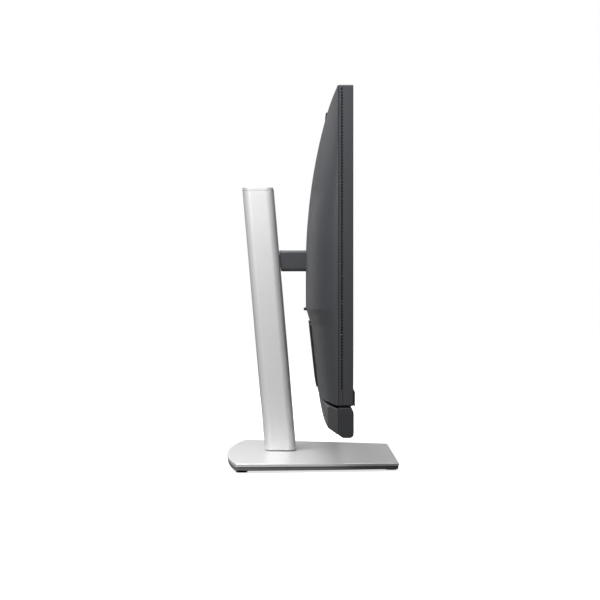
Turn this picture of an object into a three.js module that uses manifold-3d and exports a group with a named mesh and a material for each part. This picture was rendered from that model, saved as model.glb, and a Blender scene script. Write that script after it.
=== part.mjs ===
// A height-adjustable desktop monitor with a pop-up camera and a speaker bar under the screen.
// Millimetres. +X runs across the screen, the screen faces -Y, +Z is up.
// The origin is on the desk, under the middle of the base.

import * as THREE from 'three';
import { mergeVertices } from 'three/addons/utils/BufferGeometryUtils.js';
import Module from 'manifold-3d';

const wasm = await Module();
wasm.setup();

// ---------------------------------------------------------------- driving dimensions

// Clearance left between touching pieces.
const GAP = 0.3;

// Base plate: straight front edge, sides that widen to the rear, bowed rear edge, gently crowned top.
// It is a shallow wedge: each height is given in the middle, and `slopes` raise it towards the rear.
const BASE = {
  front: -98.6,
  rear: 97.9,
  frontHalfWidth: 108,
  rearHalfWidth: 136,
  cornerY: 82.8,
  cornerRadius: 3,
  trayBottom: 2.75,
  coverBottom: 7,
  edgeTop: 10.15,
  crown: 3.6,
  slopes: { tray: 0.007, cover: 0.009, top: 0.0125 },
  bevel: 0.8,
  wall: 3,
  skin: 1.5,
};
const FOOT = { frontX: 86, frontY: -90.4, rearX: 111.2, rearY: 76.6, width: 20.8, depth: 12.8, room: 1.6 };

// Swivel between the base and the column.
const SWIVEL = { y: 35, shaft: 9, bearing: 16.6, flange: 18.2, flangeBottom: 11.9, flangeTop: 14.6, bolt: 3.9 };

// Column: a tube that leans back by `lean` millimetres for each millimetre of height.
const COLUMN = {
  bottomY: 35.4,
  bottomZ: 15,
  topZ: 322.4,
  capHeight: 3.6,
  lean: 0.0867,
  halfWidth: 32,
  halfDepth: 18.5,
  rearBow: 1.4,
  corner: 9,
  wall: 2,
};
const ARM_SLOT = { halfWidth: 15, bottom: 200, top: 315 };

// Cable duct: enters the front of the column and slopes down to its rear.
const DUCT = { halfWidth: 17, halfHeight: 23, frontY: 23.9, frontZ: 96, slope: -1.1756, corner: 8, liner: 1.5 };

// Arm from the column to the head, with the tilt hinge at its end.
const ARM = { halfWidth: 22, bottom: 225, top: 249, radius: 3, frontY: 3, collar: 6, columnGap: 0.7 };
const ARM_CORE = { halfWidth: 14, halfHeight: 7.3, startY: 3 };
const BRACKET = { half: 28, front: -18.3, rear: -15.3, corner: 6, lugs: [-12.4, 7.4], lugWidth: 5, lugHalf: 6.5 };
const LEVEL_DISC = { radius: 26, front: -21.1, rear: -18.6 };
const HINGE = { y: -7.6, z: 236.7, knuckle: 7, bore: 4.3, pin: 4 };
const CARRIAGE = { halfWidth: 24, frontY: -15.8, rearY: 9, bottom: 172, top: 249.5 };
const CARRIAGE_ROOM = { halfWidth: 28, front: -30, rear: 12, depth: 5 };
const RAIL = { clearance: 2.3, front: -10, rear: 6, bottom: 124, top: 314 };
const GLIDE = { thickness: 2, front: -8, rear: 4, bottomInset: 8, topInset: 10 };
const DRUM = { y: -2, z: 158, core: 5.7, flange: 12.5, coil: 12, halfWidth: 8 };

// Head. Depths run back from the front face, which stands at `frontY`.
const HEAD = {
  frontY: -41.4,
  halfWidth: 269.3,
  bottom: 84.4,
  top: 406.15,
  corner: 1.5,
  frameDepth: 10.5,
  frameWall: 3,
  coverWall: 2.2,
  sideDepth: 14.3,
  crownDepth: 46.2,
  crownTop: 235,
  crownRadiusTerm: 1240,
  stepTop: 181,
  stepBottom: 164.4,
  stepSlope: 0.31,
  taper: 0.108,
  liftStart: 15.5,
  liftEnd: 24,
  lift: 2.6,
};
const CHIN = { top: 99.1, proud: 1.7 };
const PANEL = { halfWidth: 265.6, bottom: 99.4, top: 401.9 };
const BOARD = { front: 17, rear: 18.6, main: [-105, 60, 100, 175], power: [72, 165, 104, 172] };
const RECESS = { halfWidth: 60, bottom: 185.5, top: 296, floor: 16.5, wall: 1.5 };
const IO = { halfWidth: 95, bottom: 93, top: 165, proud: 1.8, thickness: 4.4 };

// Speaker bar under the head: a grille in front of a seam, a plain housing behind it.
const BAR = {
  halfWidth: 269.3,
  bottom: 52.4,
  front: -0.5,
  top: 82.5,
  topRadius: 5,
  lowRadius: 4,
  chamferStart: 10.5,
  chamferAtSeam: 55.3,
  rearFoot: 62.8,
  topAtSeam: 81.6,
  topAtRear: 85,
  topMiddle: 86.3,
  seam: 14.8,
  rear: 25.8,
  bulge: 6.2,
  footBulge: 2.4,
  wall: 2.5,
};
const SPEAKER = { x: 200, y: 17.5, z: 69.2 };
const BAR_BRACKET = { x: 135, halfWidth: 15, front: 15.6, rear: 21.4, bottom: 75, top: 96 };

// Camera that rises out of the top edge.
const WEBCAM = { halfWidth: 28, front: 12.2, rear: 19.9, bottom: 352, capTop: 410.3, lensZ: 394, lens: 5 };
const WEBCAM_CAP = { halfWidth: 30, front: 9.5, rear: 23.3 };

// Buttons.
const RELEASE = { halfWidth: 9, z: 180, halfHeight: 1.75, proud: 2.7 };
const POWER = { x: 225, z: 110, radius: 4.5, rear: 30.7 };
const KEY = { radius: 4, z: 67, front: -1.1, pitch: 20 };

// Finishes: colour, roughness and metalness.
const FINISH = {
  silver: [0xd9dadb, 0.35, 0.6],
  darkPlastic: [0x4a4b4f, 0.6, 0],
  greyPlastic: [0x5c5d61, 0.55, 0],
  blackPlastic: [0x101012, 0.5, 0],
  fabric: [0x242428, 0.9, 0],
  rubber: [0x1a1a1a, 0.9, 0],
  steel: [0x9a9da0, 0.4, 0.9],
  aluminium: [0xb4b7ba, 0.35, 0.9],
  screen: [0x08090b, 0.15, 0],
  diffuser: [0xe8e8e6, 0.6, 0],
  board: [0x1d4a2c, 0.6, 0],
  glass: [0x0a0a12, 0.05, 0],
};

// ---------------------------------------------------------------- geometry helpers

// A closed geometry as a solid that can be cut and joined.
function solid(geometry) {
  const bare = geometry.clone();
  bare.deleteAttribute('normal');
  bare.deleteAttribute('uv');
  const merged = mergeVertices(bare, 1e-4);
  return new wasm.Manifold(new wasm.Mesh({
    numProp: 3,
    vertProperties: new Float32Array(merged.attributes.position.array),
    triVerts: new Uint32Array(merged.index.array),
  }));
}

// A solid back as a three.js geometry.
function geometryOf(manifold) {
  const mesh = manifold.getMesh();
  const geometry = new THREE.BufferGeometry();
  geometry.setAttribute('position', new THREE.BufferAttribute(mesh.vertProperties, 3));
  geometry.setIndex(new THREE.BufferAttribute(mesh.triVerts, 1));
  geometry.computeVertexNormals();
  return geometry;
}

// The first geometry with the others cut out of it.
function cut(geometry, ...tools) {
  let body = solid(geometry);
  for (const tool of tools) {
    body = body.subtract(solid(tool));
  }
  return geometryOf(body);
}

// Several geometries joined into one.
function join(...geometries) {
  let body = solid(geometries[0]);
  for (const other of geometries.slice(1)) {
    body = body.add(solid(other));
  }
  return geometryOf(body);
}

// The part that two geometries share.
function common(first, second) {
  return geometryOf(solid(first).intersect(solid(second)));
}

// A box between two corners.
function block(x0, x1, y0, y1, z0, z1) {
  const box = new THREE.BoxGeometry(x1 - x0, y1 - y0, z1 - z0);
  return box.translate((x0 + x1) / 2, (y0 + y1) / 2, (z0 + z1) / 2);
}

// A rectangle with round corners.
function roundedRectangle(x0, x1, y0, y1, radius) {
  const shape = new THREE.Shape();
  shape.absarc(x1 - radius, y0 + radius, radius, -Math.PI / 2, 0);
  shape.absarc(x1 - radius, y1 - radius, radius, 0, Math.PI / 2);
  shape.absarc(x0 + radius, y1 - radius, radius, Math.PI / 2, Math.PI);
  shape.absarc(x0 + radius, y0 + radius, radius, Math.PI, Math.PI * 1.5);
  shape.closePath();
  return shape;
}

// A shape drawn in X and Y, extruded up from z0 to z1.
function upright(shape, z0, z1, curveSegments = 5) {
  const geometry = new THREE.ExtrudeGeometry(shape, { depth: z1 - z0, bevelEnabled: false, curveSegments });
  return geometry.translate(0, 0, z0);
}

// A shape drawn in X and Z, extruded back from y0 to y1.
function facing(shape, y0, y1, curveSegments = 5) {
  return upright(shape, -y1, -y0, curveSegments).rotateX(Math.PI / 2);
}

// A shape drawn in Y and Z, extruded across from x0 to x1.
function across(shape, x0, x1, curveSegments = 5) {
  const cycle = new THREE.Matrix4().set(0, 0, 1, 0, 1, 0, 0, 0, 0, 1, 0, 0, 0, 0, 0, 1);
  return upright(shape, x0, x1, curveSegments).applyMatrix4(cycle);
}

// A round bar along X, Y or Z between two ends.
function rod(axis, radius, from, to, u, v, segments = 20) {
  const bar = new THREE.CylinderGeometry(radius, radius, to - from, segments);
  const middle = (from + to) / 2;
  if (axis === 'x') {
    return bar.rotateZ(Math.PI / 2).translate(middle, u, v);
  }
  if (axis === 'y') {
    return bar.translate(u, middle, v);
  }
  return bar.rotateX(Math.PI / 2).translate(u, v, middle);
}

// A turned piece about Z, from [radius, height] pairs that close on themselves or on the axis.
function turned(profile, segments = 24) {
  const points = profile.map(([radius, height]) => new THREE.Vector2(radius, height));
  return new THREE.LatheGeometry(points, segments).rotateX(Math.PI / 2);
}

// A flat ring about Z.
function ring(inner, outer, z0, z1, segments = 24) {
  return turned([[inner, z0], [outer, z0], [outer, z1], [inner, z1], [inner, z0]], segments);
}

// Moves a geometry that is drawn about the column's own centre line to where the column leans.
function leaning(geometry) {
  const offset = COLUMN.bottomY - COLUMN.lean * COLUMN.bottomZ;
  const shear = new THREE.Matrix4().set(1, 0, 0, 0, 0, 1, COLUMN.lean, offset, 0, 0, 1, 0, 0, 0, 0, 1);
  return geometry.applyMatrix4(shear);
}

// Adds one named piece with its own material to a group.
function addPiece(group, name, geometry, finish) {
  const [color, roughness, metalness] = finish;
  const mesh = new THREE.Mesh(geometry, new THREE.MeshStandardMaterial({ color, roughness, metalness }));
  mesh.name = name;
  group.add(mesh);
  return mesh;
}

// ---------------------------------------------------------------- base

// Right half of the base's outline from its front corner back to the middle of its rear, as [x, y] pairs.
function baseHalfOutline(inset) {
  const { front, rear, frontHalfWidth, rearHalfWidth, cornerY, cornerRadius } = BASE;
  const nose = 2;
  const side = frontHalfWidth + 16;
  const path = new THREE.Path();
  path.moveTo(frontHalfWidth - inset - nose, front + inset);
  path.quadraticCurveTo(frontHalfWidth - inset, front + inset, frontHalfWidth - inset + 0.4, front + inset + nose);
  path.quadraticCurveTo(side - inset, -15, rearHalfWidth - inset, cornerY - cornerRadius);
  path.quadraticCurveTo(rearHalfWidth - inset, cornerY, rearHalfWidth - cornerRadius - inset, cornerY + 0.6 - inset / 4);
  path.quadraticCurveTo(rearHalfWidth / 2, rear - inset, 0, rear - inset);
  return path.getPoints(5).map((point) => [point.x, point.y]);
}

// Height of the cover's top at a place: highest round the column, level with the edge all round.
function baseTopHeight(x, y, halfWidth) {
  const { edgeTop, slopes, crown, front, rear } = BASE;
  const reach = y < SWIVEL.y ? SWIVEL.y - front : rear - SWIVEL.y;
  const rise = crown * (1 - ((y - SWIVEL.y) / reach) ** 2);
  return edgeTop + slopes.top * y + rise * (1 - (x / halfWidth) ** 2);
}

// A layer of the base between two heights, each a function of (x, y, half the width there).
function baseLayer(levels, columns) {
  const positions = [];
  const shares = Array.from({ length: columns + 1 }, (_, i) => (2 * i) / columns - 1);
  const rows = baseHalfOutline(0).length - 1;
  for (const [inset, height] of levels) {
    for (const [halfWidth, y] of baseHalfOutline(inset).slice(0, rows)) {
      for (const share of shares) {
        const x = share * halfWidth;
        positions.push(x, y, height(x, y, halfWidth));
      }
    }
    const [, rearY] = baseHalfOutline(inset)[rows];
    positions.push(0, rearY, height(0, rearY, 1));
  }
  const width = columns + 1;
  const count = rows * width + 1;
  const indices = [];
  const face = (layer, up, ...corners) => {
    const order = up ? corners : corners.reverse();
    indices.push(...order.map((corner) => layer * count + corner));
  };
  for (const [layer, up] of [[0, false], [levels.length - 1, true]]) {
    for (let j = 0; j < rows - 1; j += 1) {
      for (let i = 0; i < columns; i += 1) {
        const a = j * width + i;
        face(layer, up, a, a + 1, a + 1 + width);
        face(layer, up, a, a + 1 + width, a + width);
      }
    }
    for (let i = 0; i < columns; i += 1) {
      const a = (rows - 1) * width + i;
      face(layer, up, a, a + 1, count - 1);
    }
  }
  const loop = [];
  for (let i = 0; i < columns; i += 1) {
    loop.push(i);
  }
  for (let j = 0; j < rows; j += 1) {
    loop.push(j * width + columns);
  }
  loop.push(count - 1);
  for (let j = rows - 1; j > 0; j -= 1) {
    loop.push(j * width);
  }
  for (let layer = 0; layer < levels.length - 1; layer += 1) {
    const low = layer * count;
    const high = low + count;
    loop.forEach((a, k) => {
      const b = loop[(k + 1) % loop.length];
      indices.push(low + a, low + b, high + b, low + a, high + b, high + a);
    });
  }
  const geometry = new THREE.BufferGeometry();
  geometry.setAttribute('position', new THREE.Float32BufferAttribute(positions, 3));
  geometry.setIndex(indices);
  return geometry;
}

const trayBottomAt = (x, y) => BASE.trayBottom + BASE.slopes.tray * y;
const coverBottomAt = (x, y) => BASE.coverBottom + BASE.slopes.cover * y;
const lowered = (height, drop) => (...place) => height(...place) - drop;

// Metal cover: a shallow crowned lid with a bevelled edge and a hole for the swivel.
function baseCover() {
  const { bevel, wall, skin } = BASE;
  const lid = baseLayer([[0, coverBottomAt], [0, lowered(baseTopHeight, bevel)], [bevel, baseTopHeight]], 8);
  const pocket = baseLayer([[wall, lowered(coverBottomAt, 2)], [wall, lowered(baseTopHeight, skin)]], 8);
  const swivelHole = rod('z', SWIVEL.flange + 0.6, 0, 20, 0, SWIVEL.y, 32);
  return cut(lid, pocket, swivelHole);
}

function baseWeight() {
  const inset = BASE.wall + 0.6;
  const bottom = lowered(coverBottomAt, -GAP);
  const plate = baseLayer([[inset, bottom], [inset, lowered(baseTopHeight, BASE.skin + GAP)]], 8);
  const bearingHole = rod('z', SWIVEL.bearing + GAP, 0, 20, 0, SWIVEL.y, 32);
  const flangeRoom = rod('z', SWIVEL.flange + 0.6, SWIVEL.flangeBottom - 2 * GAP, 20, 0, SWIVEL.y, 32);
  return cut(plate, bearingHole, flangeRoom);
}

const footPlaces = [
  ['foot_front_left', -FOOT.frontX, FOOT.frontY],
  ['foot_front_right', FOOT.frontX, FOOT.frontY],
  ['foot_rear_left', -FOOT.rearX, FOOT.rearY],
  ['foot_rear_right', FOOT.rearX, FOOT.rearY],
];

// Height of a rubber foot: it goes a little way into the tray.
function footTop(y) {
  return trayBottomAt(0, y) + FOOT.room - GAP;
}

function footPad(grow, bottom, top) {
  const halfWidth = FOOT.width / 2 + grow;
  const halfDepth = FOOT.depth / 2 + grow;
  return upright(roundedRectangle(-halfWidth, halfWidth, -halfDepth, halfDepth, 4), bottom, top, 4);
}

function baseTray() {
  const top = lowered(coverBottomAt, GAP);
  const tray = baseLayer([[BASE.bevel, trayBottomAt], [BASE.bevel, top]], 2);
  const pockets = footPlaces.map(([, x, y]) => footPad(GAP, 0, footTop(y) + GAP).translate(x, y, 0));
  return cut(tray, rod('z', SWIVEL.bearing, 0, 20, 0, SWIVEL.y), ...pockets);
}

function buildBase() {
  const base = new THREE.Group();
  addPiece(base, 'base_cover', baseCover(), FINISH.silver);
  addPiece(base, 'base_weight', baseWeight(), FINISH.steel);
  addPiece(base, 'base_tray', baseTray(), FINISH.darkPlastic);
  for (const [name, x, y] of footPlaces) {
    addPiece(base, name, footPad(0, 0, footTop(y)), FINISH.rubber).position.set(x, y, 0);
  }
  const bearing = ring(SWIVEL.shaft + 0.6, SWIVEL.bearing, BASE.coverBottom + 0.6, SWIVEL.flangeBottom - GAP);
  addPiece(base, 'swivel_bearing', bearing, FINISH.blackPlastic).position.y = SWIVEL.y;
  return base;
}

// ---------------------------------------------------------------- column and swivel

// Cross-section of the column, about its own centre, drawn smaller by `inset`.
function columnSection(inset) {
  const x = COLUMN.halfWidth - inset;
  const front = -COLUMN.halfDepth + inset;
  const rear = COLUMN.halfDepth - COLUMN.rearBow - inset;
  const radius = COLUMN.corner - inset;
  const shape = new THREE.Shape();
  shape.absarc(x - radius, front + radius, radius, -Math.PI / 2, 0);
  shape.absarc(x - radius, rear - radius, radius, 0, Math.PI / 2);
  shape.quadraticCurveTo(0, rear + 2 * COLUMN.rearBow, -x + radius, rear);
  shape.absarc(-x + radius, rear - radius, radius, Math.PI / 2, Math.PI);
  shape.absarc(-x + radius, front + radius, radius, Math.PI, Math.PI * 1.5);
  shape.closePath();
  return shape;
}

// The sloping cable passage, grown all round by `grow`.
function ductSolid(grow) {
  const { halfWidth, halfHeight, frontY, frontZ, slope, corner } = DUCT;
  const x = halfWidth + grow;
  const z = halfHeight + grow;
  const passage = facing(roundedRectangle(-x, x, -z, z, corner), -30, 70);
  const shear = new THREE.Matrix4().set(1, 0, 0, 0, 0, 1, 0, frontY, 0, slope, 1, frontZ, 0, 0, 0, 1);
  return passage.applyMatrix4(shear);
}

function columnShell() {
  const bottom = COLUMN.bottomZ;
  const top = COLUMN.topZ - COLUMN.capHeight - GAP;
  const outside = leaning(upright(columnSection(0), bottom, top));
  const inside = leaning(upright(columnSection(COLUMN.wall), bottom - 5, top + 5));
  const { halfWidth, bottom: slotBottom, top: slotTop } = ARM_SLOT;
  const slot = leaning(block(-halfWidth, halfWidth, -30, 0, slotBottom, slotTop));
  return cut(outside, inside, slot, ductSolid(DUCT.liner + GAP));
}

// Lid over the top of the column, with a plug that drops into the tube.
function columnCap() {
  const bottom = COLUMN.topZ - COLUMN.capHeight;
  const lid = upright(columnSection(0), bottom, COLUMN.topZ);
  const plug = upright(columnSection(COLUMN.wall + GAP), bottom - 1.5, bottom + 1);
  const { halfWidth, front, rear, depth } = CARRIAGE_ROOM;
  const carriageRoom = block(-halfWidth, halfWidth, front, rear, bottom - depth, bottom);
  return leaning(cut(join(lid, plug), carriageRoom));
}

// Liner of the cable passage, flush with the column's faces.
function cableGuide() {
  const outside = leaning(upright(columnSection(0), COLUMN.bottomZ, COLUMN.topZ));
  return cut(common(ductSolid(DUCT.liner), outside), ductSolid(0));
}

// Turntable that carries the column: a shaft through the base under a flange.
function swivelHub() {
  const { shaft, flange, flangeBottom, flangeTop, bolt } = SWIVEL;
  const bottom = BASE.coverBottom;
  const boreTop = flangeTop - 2;
  return turned([
    [bolt + GAP, bottom],
    [shaft, bottom],
    [shaft, flangeBottom],
    [flange, flangeBottom],
    [flange, flangeTop],
    [0, flangeTop],
    [0, boreTop],
    [bolt + GAP, boreTop],
    [bolt + GAP, bottom],
  ]);
}

function swivelBolt() {
  const { bolt, flangeTop } = SWIVEL;
  const head = 6.5;
  const headBottom = 1.7;
  const headTop = 2.9;
  const tip = flangeTop - 2 - GAP;
  return turned([[0, headBottom], [head, headBottom], [head, headTop], [bolt, headTop], [bolt, tip], [0, tip]]);
}

function buildColumn() {
  const column = new THREE.Group();
  const swivel = new THREE.Group();
  swivel.position.y = SWIVEL.y;
  column.add(swivel);
  addPiece(swivel, 'swivel_hub', swivelHub(), FINISH.steel);
  addPiece(swivel, 'swivel_retainer', ring(SWIVEL.bolt + 0.4, 14, 3.2, BASE.coverBottom - GAP), FINISH.steel);
  addPiece(swivel, 'swivel_bolt', swivelBolt(), FINISH.steel);
  const foot = upright(columnSection(COLUMN.wall + GAP), COLUMN.bottomZ + 0.2, COLUMN.bottomZ + 10);
  addPiece(column, 'column_foot', leaning(foot), FINISH.aluminium);
  addPiece(column, 'column_shell', columnShell(), FINISH.silver);
  addPiece(column, 'column_cap', columnCap(), FINISH.silver);
  addPiece(column, 'cable_guide', cableGuide(), FINISH.greyPlastic);
  const railOuter = COLUMN.halfWidth - COLUMN.wall - GAP;
  for (const [side, sign] of [['left', -1], ['right', 1]]) {
    const near = sign * (CARRIAGE.halfWidth + RAIL.clearance);
    const far = sign * railOuter;
    const left = Math.min(near, far);
    const right = Math.max(near, far);
    const rail = block(left, right, RAIL.front, RAIL.rear, RAIL.bottom, RAIL.top);
    addPiece(column, `guide_rail_${side}`, leaning(rail), FINISH.steel);
  }
  return column;
}

// ---------------------------------------------------------------- carriage and arm

// A round-cornered bar from the recess back to the column, with its rear end parallel to the column.
function armBar(frontY, rearLocalY, hole) {
  const { halfWidth, bottom, top, radius } = ARM;
  const bar = facing(roundedRectangle(-halfWidth, halfWidth, bottom, top, radius), frontY, 60, 4);
  const behind = leaning(block(-60, 60, rearLocalY, 90, 150, 320));
  return cut(bar, behind, hole);
}

function armCore() {
  const { halfWidth, halfHeight, startY } = ARM_CORE;
  const low = HINGE.z - halfHeight;
  const high = HINGE.z + halfHeight;
  const beam = block(-halfWidth, halfWidth, startY, 60, low, high);
  const behind = leaning(block(-60, 60, CARRIAGE.frontY - GAP, 90, 150, 320));
  const web = block(-7, 7, HINGE.y, startY + 2, HINGE.z - 6, HINGE.z + 6);
  const knuckle = rod('x', HINGE.knuckle, -7, 7, HINGE.y, HINGE.z);
  const bore = rod('x', HINGE.bore, -20, 20, HINGE.y, HINGE.z);
  return cut(join(beam, web, knuckle), behind, bore);
}

// Constant-force spring drum: a core between two flanges, about X.
function springDrum() {
  const { core, flange, halfWidth } = DRUM;
  const edge = halfWidth + 1.5;
  const inside = halfWidth + GAP;
  return turned([
    [0, -edge],
    [flange, -edge],
    [flange, -inside],
    [core, -inside],
    [core, inside],
    [flange, inside],
    [flange, edge],
    [0, edge],
  ]).rotateY(Math.PI / 2);
}

function buildCarriage() {
  const carriage = new THREE.Group();
  const { halfWidth, frontY, rearY, bottom, top } = CARRIAGE;
  const slide = leaning(block(-halfWidth, halfWidth, frontY, rearY, bottom, top));
  addPiece(carriage, 'carriage', slide, FINISH.aluminium);
  for (const [side, sign] of [['left', -1], ['right', 1]]) {
    const near = sign * (halfWidth + GAP);
    const far = sign * (halfWidth + GLIDE.thickness);
    const low = bottom + GLIDE.bottomInset;
    const high = top - GLIDE.topInset;
    const pad = block(Math.min(near, far), Math.max(near, far), GLIDE.front, GLIDE.rear, low, high);
    addPiece(carriage, `glide_pad_${side}`, leaning(pad), FINISH.blackPlastic);
  }
  const drumY = DRUM.y + COLUMN.bottomY + COLUMN.lean * (DRUM.z - COLUMN.bottomZ);
  const drum = new THREE.Group();
  drum.position.set(0, drumY, DRUM.z);
  carriage.add(drum);
  addPiece(drum, 'spring_drum', springDrum(), FINISH.blackPlastic);
  const coil = ring(DRUM.core + GAP, DRUM.coil, -DRUM.halfWidth, DRUM.halfWidth).rotateY(Math.PI / 2);
  addPiece(drum, 'lift_spring', coil, FINISH.steel);

  addPiece(carriage, 'arm_core', armCore(), FINISH.aluminium);
  const hole = block(
    -ARM_CORE.halfWidth - GAP,
    ARM_CORE.halfWidth + GAP,
    -20,
    80,
    HINGE.z - ARM_CORE.halfHeight - GAP,
    HINGE.z + ARM_CORE.halfHeight + GAP,
  );
  const collarRear = -COLUMN.halfDepth - ARM.columnGap;
  const collarFront = collarRear - ARM.collar;
  addPiece(carriage, 'arm_cover', armBar(ARM.frontY, collarFront - GAP, hole), FINISH.darkPlastic);
  const beforeCollar = leaning(block(-60, 60, -90, collarFront, 150, 320));
  addPiece(carriage, 'arm_collar', cut(armBar(0, collarRear, hole), beforeCollar), FINISH.darkPlastic);
  return carriage;
}

// ---------------------------------------------------------------- tilt hinge

// Friction spring round the hinge pin: three turns of wire.
class CoilPath extends THREE.Curve {
  getPoint(t, target = new THREE.Vector3()) {
    const turns = 2.5;
    const angle = t * turns * Math.PI * 2;
    return target.set(15.4 + t * turns * 2, 6 * Math.cos(angle), 6 * Math.sin(angle));
  }
}

function tiltSpring() {
  const wire = new THREE.Shape();
  wire.absarc(0, 0, 0.7, 0, Math.PI * 2);
  return new THREE.ExtrudeGeometry(wire, { steps: 40, curveSegments: 3, extrudePath: new CoilPath() });
}

// Plate in front of the hinge with two lugs that hold the pin.
function tiltBracket() {
  const { half, front, rear, corner, lugs, lugWidth, lugHalf } = BRACKET;
  const outline = roundedRectangle(-half - 2, half + 2, HINGE.z - half, HINGE.z + half, corner);
  const pieces = [facing(outline, front, rear, 4)];
  for (const x of lugs) {
    pieces.push(rod('x', HINGE.knuckle, x, x + lugWidth, HINGE.y, HINGE.z));
    pieces.push(block(x, x + lugWidth, rear - 0.7, HINGE.y, HINGE.z - lugHalf, HINGE.z + lugHalf));
  }
  return cut(join(...pieces), rod('x', HINGE.bore, -20, 20, HINGE.y, HINGE.z));
}

function buildTilt() {
  const tilt = new THREE.Group();
  addPiece(tilt, 'tilt_bracket', tiltBracket(), FINISH.steel);
  addPiece(tilt, 'tilt_pin', rod('x', HINGE.pin, -22, 22, HINGE.y, HINGE.z), FINISH.steel);
  addPiece(tilt, 'tilt_spring', tiltSpring(), FINISH.steel).position.set(0, HINGE.y, HINGE.z);
  const { radius, front, rear } = LEVEL_DISC;
  addPiece(tilt, 'level_disc', rod('y', radius, front, rear, 0, HINGE.z, 36), FINISH.steel);
  return tilt;
}

// ---------------------------------------------------------------- head shells

// Depth of the rear cover's surface behind the front face.
function coverDepth(x, z) {
  const { halfWidth, top, sideDepth, crownDepth, crownTop, crownRadiusTerm } = HEAD;
  const { stepTop, stepBottom, stepSlope, taper } = HEAD;
  let centre = crownDepth;
  if (z > crownTop) {
    centre -= (z - crownTop) ** 2 / crownRadiusTerm;
  }
  centre -= stepSlope * Math.max(0, stepTop - Math.max(z, stepBottom));
  centre -= taper * Math.max(0, stepBottom - z);
  const rise = Math.max(0, (z - crownTop) / (top - crownTop));
  const side = sideDepth + 1.5 * rise;
  const power = 4.35 - 2.85 * rise ** 2;
  const root = 0.5 + 0.5 * rise ** 2;
  const across = Math.min(1, Math.abs(x) / halfWidth);
  return side + (centre - side) * (1 - across ** power) ** root;
}

// The closed space from the depth `front` back to the cover's surface, set in by `inset` all round.
function crownedSolid(front, inset) {
  const columns = 20;
  const rows = 13;
  const low = HEAD.bottom + inset;
  const spacing = (HEAD.top - HEAD.bottom - 2 * inset) / rows;
  const heights = Array.from({ length: rows + 1 }, (_, j) => low + spacing * j);
  heights[Math.round((HEAD.stepBottom - low) / spacing)] = HEAD.stepBottom;
  heights[Math.round((HEAD.stepTop - low) / spacing)] = HEAD.stepTop;
  const positions = [];
  for (const back of [false, true]) {
    for (const z of heights) {
      for (let i = 0; i <= columns; i += 1) {
        const x = (HEAD.halfWidth - inset) * Math.sin(Math.PI * (i / columns - 0.5));
        positions.push(x, back ? coverDepth(x, z) - inset : front, z);
      }
    }
  }
  const width = columns + 1;
  const layer = width * (rows + 1);
  const indices = [];
  const quad = (a, b, c, d) => indices.push(a, b, c, a, c, d);
  for (let j = 0; j < rows; j += 1) {
    for (let i = 0; i < columns; i += 1) {
      const a = j * width + i;
      quad(a, a + 1, a + 1 + width, a + width);
      quad(layer + a + width, layer + a + 1 + width, layer + a + 1, layer + a);
    }
    const left = j * width;
    const right = left + columns;
    quad(left + width, layer + left + width, layer + left, left);
    quad(right, layer + right, layer + right + width, right + width);
  }
  for (let i = 0; i < columns; i += 1) {
    const top = rows * width + i;
    quad(i, layer + i, layer + i + 1, i + 1);
    quad(top + 1, layer + top + 1, layer + top, top);
  }
  const geometry = new THREE.BufferGeometry();
  geometry.setAttribute('position', new THREE.Float32BufferAttribute(positions, 3));
  geometry.setIndex(indices);
  return geometry;
}

// Outline of the head seen from the front, set in by `inset`.
function headOutline(inset) {
  const { halfWidth, bottom, top, corner } = HEAD;
  const x = halfWidth - inset;
  return roundedRectangle(-x, x, bottom + inset, top - inset, Math.max(1.5, corner - inset));
}

// Space below the rear cover: the underside is level, climbs a little and is level again.
function undersideSpace(lift) {
  const { bottom, frameDepth, liftStart, liftEnd } = HEAD;
  const low = bottom + lift;
  const shape = new THREE.Shape();
  shape.moveTo(frameDepth - 6, low - 20);
  shape.lineTo(60, low - 20);
  shape.lineTo(60, low + HEAD.lift);
  shape.lineTo(liftEnd, low + HEAD.lift);
  shape.lineTo(liftStart, low);
  shape.lineTo(frameDepth - 6, low);
  return across(shape, -300, 300);
}

function recessBox(grow, floor) {
  const x = RECESS.halfWidth + grow;
  return block(-x, x, floor, 60, RECESS.bottom - grow, RECESS.top + grow);
}

function bracketBox(x, grow) {
  const { halfWidth, front, rear, bottom, top } = BAR_BRACKET;
  return block(x - halfWidth - grow, x + halfWidth + grow, front - grow, rear + grow, bottom, top);
}

function rearCover() {
  const front = HEAD.frameDepth + GAP;
  const outside = cut(common(crownedSolid(front, 0), facing(headOutline(0), 0, 60)), undersideSpace(0));
  const inside = cut(crownedSolid(front - 5, HEAD.coverWall), undersideSpace(HEAD.coverWall));
  const tub = common(recessBox(RECESS.wall, RECESS.floor - 2), outside);
  const webcamSlot = block(
    -WEBCAM.halfWidth - 0.5,
    WEBCAM.halfWidth + 0.5,
    0,
    WEBCAM.rear + 0.4,
    HEAD.top - 10,
    HEAD.top + 5,
  );
  const ioWindow = block(-IO.halfWidth - GAP, IO.halfWidth + GAP, 30, 60, IO.bottom - 3 * GAP, IO.top + 3 * GAP);
  const releaseHole = block(
    -RELEASE.halfWidth - 0.4,
    RELEASE.halfWidth + 0.4,
    35,
    60,
    RELEASE.z - RELEASE.halfHeight - 0.35,
    RELEASE.z + RELEASE.halfHeight + 0.35,
  );
  const powerHole = rod('y', POWER.radius + 0.4, 20, 60, POWER.x, POWER.z);
  return cut(
    join(cut(outside, inside), tub),
    recessBox(0, RECESS.floor),
    webcamSlot,
    ioWindow,
    releaseHole,
    powerHole,
    bracketBox(-BAR_BRACKET.x, GAP),
    bracketBox(BAR_BRACKET.x, GAP),
  );
}

function frontFrame() {
  const opening = facing(headOutline(HEAD.frameWall), -5, 30);
  return cut(facing(headOutline(0), 0, HEAD.frameDepth), opening);
}

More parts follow.
